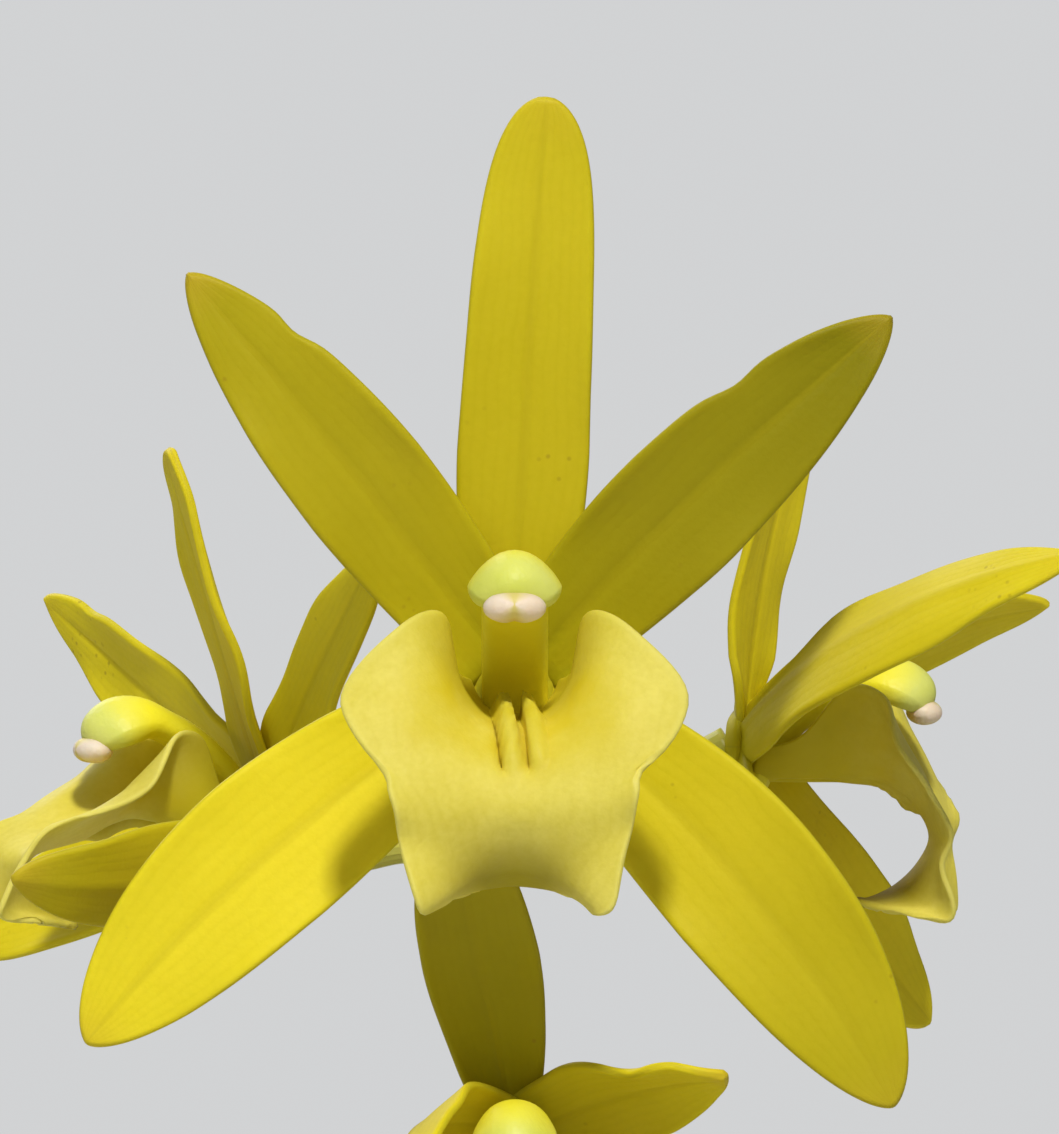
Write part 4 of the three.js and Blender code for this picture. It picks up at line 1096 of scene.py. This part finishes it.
def hub_skin():
    """A small turned button behind the blades, where they meet, its axis along Y."""
    radius, back, front = HUB["radius"], HUB["back"], HUB["front"]
    profile = rounded([
        (HUB["axis"], -back), (radius * HUB["back_share"], -back), (radius, -HUB["waist"]),
        (radius * HUB["front_share"], front), (HUB["axis"], front),
    ], HUB["round"], HUB_CURVE)
    points, faces, uv = turned(profile, HUB_SIDES)
    upright_to_back = np.array([[1.0, 0, 0], [0, 0, 1], [0, -1, 0]])
    return points @ upright_to_back, faces, uv * [HUB_ALONG, 1]


# %% [markdown]
# ## The lip
# The lip is the orchid's landing place: a trough whose sides stand up as two ears, ending in a
# lobe that curls under. Ten stations of four points each give half of it; the other half is the
# mirror, and a Catmull-Rom patch through all of them makes it smooth. Two keels are added as
# ridges with a groove at their foot, a notch parts each ear from the lobe, and the free edge
# gets a small frill.

# %% Lip stations
LIP_STATIONS = np.array([
    [(0, -2.5, 1.0), (1.6, -2.2, 1.0), (2.7, -1.3, 1.3), (3.2, 0.0, 1.8)],
    [(0, -2.8, 5.0), (2.1, -2.4, 5.0), (3.6, -0.9, 5.2), (4.4, 1.0, 5.8)],
    [(0, -3.1, 9.0), (2.5, -2.4, 9.2), (4.3, 0.3, 9.6), (5.1, 4.9, 9.9)],
    [(0, -3.6, 12.4), (3.2, -2.7, 12.8), (5.8, 0.8, 13.2), (8.1, 3.9, 13.2)],
    [(0, -5.8, 15.1), (4.0, -4.8, 15.5), (8.2, -1.8, 15.4), (12.0, -1.0, 14.6)],
    [(0, -8.5, 16.2), (3.6, -8.0, 16.6), (6.7, -7.3, 17.2), (8.8, -6.9, 18.0)],
    [(0, -10.9, 15.0), (3.6, -10.9, 15.9), (6.2, -10.8, 16.8), (7.9, -10.6, 17.3)],
    [(0, -12.8, 12.8), (3.0, -13.4, 14.2), (5.0, -14.4, 16.1), (6.5, -15.5, 17.6)],
    [(0, -13.8, 10.3), (2.2, -14.0, 11.2), (3.8, -14.4, 12.6), (4.7, -14.9, 13.8)],
    [(0, -13.6, 8.6), (0.9, -13.7, 8.9), (1.7, -13.9, 9.7), (2.3, -14.2, 10.6)],
])
LIP_ROWS, LIP_COLUMNS = 76, 85
LIP_FOOT = np.array([0, -2.0, -2.5])
LIP_HALF = (0.36, 0.24)
LIP_RUN, LIP_REACH = 30.0, 8.0
LOBE_START, LOBE_END = 0.44, 0.66
NOTCH = {"place": 0.535, "reach": 0.020, "depth": 0.08, "crease": 0.12}
# The frill's height, its start and radians along, and what shifts one edge from the other.
LIP_FRILL = {"height": 0.22, "start": 0.25, "run": 46, "shift": 1.3}
# An even run and its cube, mixed by these shares, bunch the columns at the edges.
EVEN_SHARE, CUBE_SHARE = 0.55, 0.45
# Each keel's distance from the middle at its back and at its front end.
KEELS = [(-1.6, 0.0), (0.9, 1.8)]
KEEL = {"half_width": 0.36, "back_rise": 2.1, "front_rise": 0.5, "start": 0.06, "end": 0.47,
        "steep_start": 12, "steep_end": 24}
GROOVE = {"half_width": 0.38, "depth": 1.0, "beside": 0.75, "start": 0.20}


def keel_height(x, t):
    """Two bell-shaped ridges that fall to the front, each with a groove that deepens beside it."""
    run = np.clip(t / KEEL["end"], 0, 1)
    fade = np.clip(KEEL["steep_start"] * (t - KEEL["start"]), 0, 1)
    fade = fade * np.clip(KEEL["steep_end"] * (KEEL["end"] - t), 0, 1)
    rise = KEEL["back_rise"] + (KEEL["front_rise"] - KEEL["back_rise"]) * run**2
    depth = GROOVE["depth"] * np.clip((t - GROOVE["start"]) / (KEEL["end"] - GROOVE["start"]), 0, 1)
    height = 0 * x
    for back, front in KEELS:
        beside = x - back - (front - back) * run
        height = height + rise * bell(beside, KEEL["half_width"])
        height = height - depth * bell(beside + GROOVE["beside"], GROOVE["half_width"])
    return height * fade


def pitched(skin, foot, degrees, scale=1.0):
    """A skin scaled about its foot and turned up about the level axis through it."""
    points, faces, uv = skin
    tilt = turns(np.array([[-radians(degrees), 0, 0]]))[0]
    return (points - foot) * scale @ tilt.T + foot, faces, uv


def patch(points, places):
    """Catmull-Rom curve through points[n, ...] read at places from 0 to n - 1."""
    ends = with_ends(points)
    i = np.clip(places.astype(int), 0, len(points) - 2)
    w = (places - i).reshape(-1, 1, 1)
    p0, p1, p2, p3 = (ends[i + k] for k in range(4))
    return 0.5 * (2 * p1 + (p2 - p0) * w + (2 * p0 - 5 * p1 + 4 * p2 - p3) * w**2
                  + (3 * p1 - p0 - 3 * p2 + p3) * w**3)


# %% Lip surface
def lip_skin(pitch, scale, yaw, spread_share, drop, reach):
    """The smoothed net, pulled in at the notches, with keels, creases and a frill.

    They move it against its normal, which points down and out of the trough. Its lobe is moved
    forward by the reach. The skin is then narrowed to its spread share, pitched and scaled about
    its foot, yawed and dropped.
    """
    half = LIP_STATIONS[:, :, [0, 2, 1]] * [1, -1, 1]
    net = np.concatenate([half[:, :0:-1] * [-1, 1, 1], half], 1)
    rows = np.linspace(0, len(net) - 1, LIP_ROWS)
    even = np.linspace(-1, 1, LIP_COLUMNS)
    s = np.sin(np.pi / 2 * (EVEN_SHARE * even + CUBE_SHARE * even**3))
    net = patch(net, rows)
    net = patch(net.transpose(1, 0, 2), 3 + 3 * s).transpose(1, 0, 2)
    t, s = (rows / rows[-1])[:, None], s[None]
    notch = bell(t - NOTCH["place"], NOTCH["reach"])
    net = net * stacked(1 - NOTCH["depth"] * notch * np.abs(s) ** 8, 1, 1)
    crease = NOTCH["crease"] * notch * np.abs(s) ** 4 * (1 - np.abs(s) ** 12)
    free = np.clip(4 * (t - LIP_FRILL["start"]), 0, 1) * np.abs(s) ** 6
    wave = np.sin(LIP_FRILL["run"] * t + LIP_FRILL["shift"] * np.sign(s))
    frill = LIP_FRILL["height"] * wave * free
    net = net - normals_of(net) * (keel_height(net[..., 0], t) + frill - crease)[..., None]
    net = net - stacked(0, reach * smooth_step(t, LOBE_START, LOBE_END), 0)
    edge = np.minimum((1 - np.abs(s)) * LIP_REACH, LIP_RUN * np.minimum(t, 1 - t))
    thick = round_edge(edge, LIP_HALF[0] + (LIP_HALF[1] - LIP_HALF[0]) * s**2)
    skin = sheet_skin(net * [spread_share, 1, 1], thick, t, s)
    points, faces, uv = pitched(skin, LIP_FOOT, pitch, scale)
    return points @ turns(np.array([[0, 0, radians(yaw)]]))[0].T - UP * drop, faces, uv


# %% [markdown]
# ## Column and anther cap
# The column arches over the lip and ends in a hood. It is a tube of oval rings along a curve,
# higher above the curve than below it, which widen into the hood and are closed by a dome. The
# cap sits under the hood and is two-lobed: an ellipsoid whose radius swells at both sides and
# has a groove down its middle.

# %% Column and cap surfaces
COLUMN_FOOT = np.array([0, -2.6, -0.2])
COLUMN_ROUTE = [
    (0, -1.2, -3.4), (0, -2.6, -0.2), (0, -4.6, 2.2), (0, -7.8, 4.6), (0, -11.0, 5.6),
    (0, -13.8, 4.8), (0, -15.5, 3.5),
]
HOOD_START, HOOD_END, DOME_START = 0.62, 0.84, 0.84
# Each measure along the shaft, and what the hood adds to it.
COLUMN_FORM = {"half width": (2.35, 0.93), "above": (1.5, 1.0), "below": (1.35, 0.85),
               "roundness": (1.0, 0.8), "hollow": (0.25, 0.45)}
HOLLOW_WIDTH, DOME_END = 0.6, 0.985
COLUMN_STEPS, SHAFT_RINGS, DOME_RINGS, COLUMN_SIDES = 200, 36, 16, 40
CAP_RINGS, CAP_SIDES = 22, 36
UNDERSIDE = 1.5 * np.pi
CAP_MIDDLE = np.array([0, -15.1, 3.35])
CAP_HALF = np.array([1.95, 1.5, 1.25])
CAP_FORM = {"back": 0.985, "front": 0.02, "lobes": 0.12, "groove": 0.16, "groove_width": 0.25}


def column_skin(pitch):
    """Rings of half width and half depth that grow by a smooth step and end in a quarter circle."""
    ending = DOME_START + (1 - DOME_START) * np.sin(np.linspace(0, np.pi / 2, DOME_RINGS)[1:])
    t = np.concatenate([np.linspace(0, DOME_START, SHAFT_RINGS), ending])
    path = read_at(t, np.linspace(0, 1, COLUMN_STEPS), route(COLUMN_ROUTE, COLUMN_STEPS))
    tangent = unit(np.gradient(path, axis=0))
    up = stacked(0, tangent[:, 2], -tangent[:, 1])
    past = np.clip((t - DOME_START) / (1 - DOME_START), 0, 1)
    dome = np.sqrt(1 - (DOME_END * past) ** 2)[:, None]
    hood = smooth_step(t, HOOD_START, HOOD_END)[:, None]
    wide, above, below, power, hollow = (shaft + more * hood for shaft, more in COLUMN_FORM.values())
    angle = full_turn(COLUMN_SIDES)
    above = above * np.clip(np.sin(angle), 0, 1) ** power
    below = below * np.clip(-np.sin(angle), 0, 1) * (1 - hollow * bell(angle - UNDERSIDE, HOLLOW_WIDTH))
    rings = (path[:, None] + stacked(wide * dome * np.cos(angle), 0, 0)
             + up[:, None] * ((above - below) * dome)[..., None])
    return pitched(ring_skin(rings), COLUMN_FOOT, pitch)


def cap_skin(pitch):
    """An ellipsoid of rings from back to front, with two lobes and a middle groove."""
    latitude = np.linspace(np.pi * CAP_FORM["back"], np.pi * CAP_FORM["front"], CAP_RINGS)
    place, angle = np.cos(latitude)[:, None], full_turn(CAP_SIDES)
    groove = CAP_FORM["groove"] * bell(angle - UNDERSIDE, CAP_FORM["groove_width"])
    reach = np.sqrt(1 - place**2) * (1 + CAP_FORM["lobes"] * np.cos(2 * angle) - groove)
    rings = stacked(reach * np.cos(angle), -place, reach * np.sin(angle)) * CAP_HALF
    return pitched(ring_skin(rings + CAP_MIDDLE), COLUMN_FOOT, pitch)


# %% [markdown]
# ## The table of blooms
# The first four blooms follow the photograph: face-on, turned right, turned left and the one
# below. The lower four are drawn by a seeded rule, so they come out the same on every run.

# %% Seeded blades
def dice(seed):
    """A seeded draw between low and high, the same as the frame's own."""
    state = [seed]

    def roll(low, high):
        state[0] = (state[0] * 16807) % 2147483647
        return low + (high - low) * state[0] / 2147483647

    return roll


def plain_blades(seed):
    """Three sepals and two petals with small random differences."""
    draw = dice(seed)
    return [
        blade("dorsal", 39, 9.5, draw(-3, 3), draw(4, 14), draw(10, 26), bend=draw(-4, 4)),
        blade("petal", 36, 9.8, draw(-56, -44), draw(12, 20), draw(16, 34), phase=draw(0, 180)),
        blade("petal", 36, 9.8, draw(44, 56), draw(12, 20), draw(16, 34), phase=draw(0, 180)),
        blade("sepal", 38, 11.6, draw(-126, -116), draw(10, 18), draw(4, 16), bend=draw(-18, -8)),
        blade("sepal", 38, 11.6, draw(116, 126), draw(10, 18), draw(4, 16), bend=draw(8, 18)),
    ]


def bloom(at, azimuth, tilt, scale, blades, lip=(0, 1.0, 0, 1.0, 0, 0), column_pitch=0):
    """Where a bloom is from the main one, how it is turned, and its blades.

    Its lip has six numbers: pitch, scale, yaw, spread share, drop and reach.
    """
    return dict(at=at, azimuth=azimuth, tilt=tilt, scale=scale, blades=blades, lip=lip,
                column_pitch=column_pitch)


# %% Blooms
# A nick is a dip in one edge: its place along the blade, depth share, reach and side. A blade's
# tone is its share of olive, which is painted shade, at the foot and at the tip.
BLOOMS = [
    bloom((0, 0, 0), 0, 0, 1.0, [
        blade("dorsal", 40.4, 9.4, 1.5, 11, 2, bend=3.3, tone=(0.35, 0.35)),
        blade("petal", 36.4, 9.6, -36.5, 22, -4, bend=-4.6, phase=40, tone=(0.5, 0.65),
              nicks=[(0.78, 0.14, 0.04, 1)]),
        blade("petal", 36.5, 9.9, 42.6, 22, -4, bend=6.8, phase=130, tone=(0.65, 1.0),
              nicks=[(0.69, 0.12, 0.05, -1)]),
        blade("sepal", 39.0, 11.8, -119.6, 8, 0, bend=-22, turn=-8, tone=(0, 0)),
        blade("sepal", 39.8, 11.8, 124.3, 8, 0, bend=29, tone=(0.0, 0.6)),
    ], column_pitch=9),
    bloom((16.8, 20, -5.3), 84, -2, 0.90, [
        blade("dorsal", 30, 7.8, 0, 1, 18, turn=26),
        blade("petal", 42, 9.4, -58, 21, 64, turn=10),
        blade("petal", 38, 10.0, 64, 18, 66, turn=-20),
        blade("sepal", 27, 10.0, -142, 8, 14),
        blade("sepal", 34, 10.0, 140, 24, 31, turn=-30),
    ], lip=(6, 0.96, 0, 1.0, 0, 0)),
    bloom((-18.9, 24, -9.4), -64, 8, 0.93, [
        blade("dorsal", 28.5, 8.4, 0, 27, 24, turn=8, twist=3, tone=(0, 0)),
        blade("petal", 34, 9.0, -65, 14, 18, turn=14, bend=3, nicks=[(0.78, 0.12, 0.05, 1)],
              tone=(0, 0)),
        blade("strap", 31, 7.4, 51.5, 10, 4, turn=-14, tone=(0, 0)),
        blade("sepal", 35, 9.5, -118, 18, 34),
        blade("sepal", 36, 9.5, 116, 20, 92, tone=(0.4, 0.5)),
    ], lip=(14, 0.94, 0, 0.72, 2.0, 4.6), column_pitch=-6),
    bloom((0, 8, -33.4), 0, -20, 0.92, [
        blade("sepal", 30.5, 9.2, -9, 4, 18, bend=-1, tone=(0.8, 0.7)),
        blade("petal", 25, 9.4, -54, 34, 106),
        blade("petal", 19, 10.0, 58, 10, 36, bend=8, twist=-40, nicks=[(0.62, 0.30, 0.10, -1)]),
        blade("sepal", 36, 11, -130, 8, 0, bend=-8),
        blade("sepal", 36, 11, 130, 8, 0, bend=8),
    ], lip=(-14, 0.9, 0, 1.0, 0, 0), column_pitch=4),
    bloom((14, 40, -75), 125, 0, 0.96, plain_blades(11)),
    bloom((-19, 30, -93), -100, -4, 0.97, plain_blades(23)),
    bloom((6, 2, -114), 15, -6, 0.98, plain_blades(37)),
    bloom((5, 44, -134), 160, -4, 0.98, plain_blades(41)),
]


def placing(flower):
    """A bloom's matrix, which tilts its face up and then turns it by the azimuth, and its middle."""
    raised = turns(np.array([[-radians(flower["tilt"]), 0, 0]]))[0]
    turned_round = turns(np.array([[0, 0, radians(flower["azimuth"])]]))[0]
    return turned_round @ raised, MAIN + flower["at"]


# %% Put the blooms
for number, flower in enumerate(BLOOMS, 1):
    matrix, centre = placing(flower)
    skins = [hub_skin()] + [blade_skin(form) for form in flower["blades"]]
    # Each blade's olive share of painted shade runs from its foot to its tip.
    ends = [HUB_PAINTED_SHADE] + [form["tone"] for form in flower["blades"]]
    tones = np.concatenate([a + (b - a) * uv[:, 0] for (_, _, uv), (a, b) in zip(skins, ends)])
    parts = [
        ("tepals", together(skins), PETAL, "petal", tones),
        ("lip", lip_skin(*flower["lip"]), LIP, "lip", None),
        ("column", column_skin(flower["column_pitch"]), COLUMN, "column", None),
        ("anther_cap", cap_skin(flower["column_pitch"]), CAP, "anther_cap", None),
    ]
    for word, (points, faces, uv), material, slot, tone in parts:
        placed = (points * flower["scale"] @ matrix.T + centre, faces, uv)
        put(f"flower_{number}_{word}", placed, material, [f"bloom_{number}_{word}"], tone)

# %% [markdown]
# ## The flower stalks
# Each bloom's own stalk leaves the stem at a narrow angle, curves out and thickens to the
# ovary, and ends just behind the flower.

# %% Pedicels
PEDICEL_THIN, PEDICEL_THICK = 1.15, 1.55
PEDICEL_DROP, PEDICEL_ARCH = 8.5, 3.0
OVARY_RIDGES, RIDGE_DEPTH = 6, 0.05
PEDICEL_STEPS, PEDICEL_SIDES = 60, 18
SEAT, SEAT_DROP = 1.1, 0.8
NECK, NECK_DROP = 6.5, 3.5


def pedicel_skin(flower):
    """A tube from the stem through a middle point to the neck and into the back of the hub."""
    matrix, centre = placing(flower)

    def behind(distance, drop):
        return centre + matrix @ np.array([0, HUB["back"] + distance, -drop]) * flower["scale"]

    seat, neck = behind(SEAT, SEAT_DROP), behind(NECK, NECK_DROP)
    foot = stem_at(seat[2] - PEDICEL_DROP)
    middle = (neck + foot) / 2 + UP * PEDICEL_ARCH
    path = route([foot, middle, neck, seat, behind(-GAP, 0)], PEDICEL_STEPS)
    share = np.linspace(0, 1, PEDICEL_STEPS)[:, None]
    ridge = 1 + RIDGE_DEPTH * np.cos(OVARY_RIDGES * full_turn(PEDICEL_SIDES)) * share
    radius = (PEDICEL_THIN + (PEDICEL_THICK - PEDICEL_THIN) * share) * ridge
    # The small nudge keeps the plane's normal from having no length.
    plane = np.cross(UP, seat - foot) + np.array([1e-4, 0, 0])
    return tube(path, radius, PEDICEL_SIDES, unit(plane))


put("flower_stalks", together([pedicel_skin(flower) for flower in BLOOMS]), PEDICEL)

# %% [markdown]
# ## Camera, floor and light
# The photograph looks level at the top bloom from close by, slightly from above its middle, so
# the camera stands 420 mm in front of it with a long lens. The floor is plain and pale, and
# soft lights stand where a studio would put them: a key above the camera and a little to its
# right, which throws the lip's shadow on the lower sepals, a weak fill at the left and a rim
# light behind. Colours are shown as they are, because a film look would wash out this yellow.

# %% Camera
SHOT = {"back": 420.0, "right": 1.03, "above": 8.06, "frame_height": 80.86, "sensor": 36.0}
camera = bpy.data.cameras.new("camera")
camera.sensor_width = SHOT["sensor"]
camera.lens = SHOT["sensor"] * SHOT["back"] / SHOT["frame_height"]
camera.clip_start = 0.01
camera.clip_end = 50
view = shown("camera", camera)
view.location = Vector((MAIN + [SHOT["right"], -SHOT["back"], SHOT["above"]]) * MM)
view.rotation_euler = (np.pi / 2, 0, 0)
bpy.context.scene.camera = view
print("lens", round(camera.lens, 1), "mm")


# %% Floor and world
FLOOR_RINGS, FLOOR_SIDES = [500, 2000, 5000], 96


def floor_look(tree):
    """Two close pale tones in wide clouds."""
    return [mixed(tree, noise(tree, 2.0, 2.0), (0.74, 0.74, 0.73), (0.78, 0.78, 0.77))]


def floor_piece():
    """A wide level disc of rings, closed in the middle, plain and pale."""
    profile = np.array([(radius, 0.0) for radius in (NEAR_AXIS, *FLOOR_RINGS)])
    points, faces, _ = turned(profile, FLOOR_SIDES)
    mesh = mesh_of("floor", points, faces[:2])
    mesh.materials.append(finished("plain pale floor", floor_look, Roughness=0.8))
    shown("floor", mesh)


def studio_world():
    """A pale world that the camera sees brighter than it shines on the plant."""
    world = bpy.data.worlds.new("pale studio")
    world.use_nodes = True
    tree = world.node_tree
    shining = tree.nodes["Background"]
    shining.inputs["Color"].default_value = (0.92, 0.96, 1.0, 1)
    shining.inputs["Strength"].default_value = 0.21
    seen = add(tree, "ShaderNodeBackground", {"Color": (0.80, 0.81, 0.82, 1), "Strength": 0.80})
    camera_ray = add(tree, "ShaderNodeLightPath").outputs["Is Camera Ray"]
    both = add(tree, "ShaderNodeMixShader", {0: camera_ray, 1: shining.outputs[0], 2: seen.outputs[0]})
    tree.links.new(both.outputs[0], tree.nodes["World Output"].inputs["Surface"])
    bpy.context.scene.world = world


floor_piece()
studio_world()
bpy.context.scene.view_settings.view_transform = "Standard"


# %% Lights
def soft_light(name, place, target, size, power, colour=(1, 1, 1)):
    """A square area light at a place in metres, aimed at a target, not seen itself."""
    light = bpy.data.lights.new(name, "AREA")
    light.size = size
    light.energy = power
    light.color = colour
    lamp = shown(name, light)
    lamp.location = place
    lamp.rotation_euler = (Vector(target) - Vector(place)).to_track_quat("-Z", "Y").to_euler()
    lamp.visible_camera = False


soft_light("key", (0.12, -1.40, 2.02), (0, -0.05, 0.55), 0.2, 37, (1.0, 0.98, 0.95))
soft_light("fill", (-1.9, -1.6, 0.8), (0, 0, 0.40), 1.4, 4, (0.97, 0.98, 1.0))
soft_light("rim", (-0.9, 1.5, 1.7), (0, 0, 0.45), 1.2, 16)
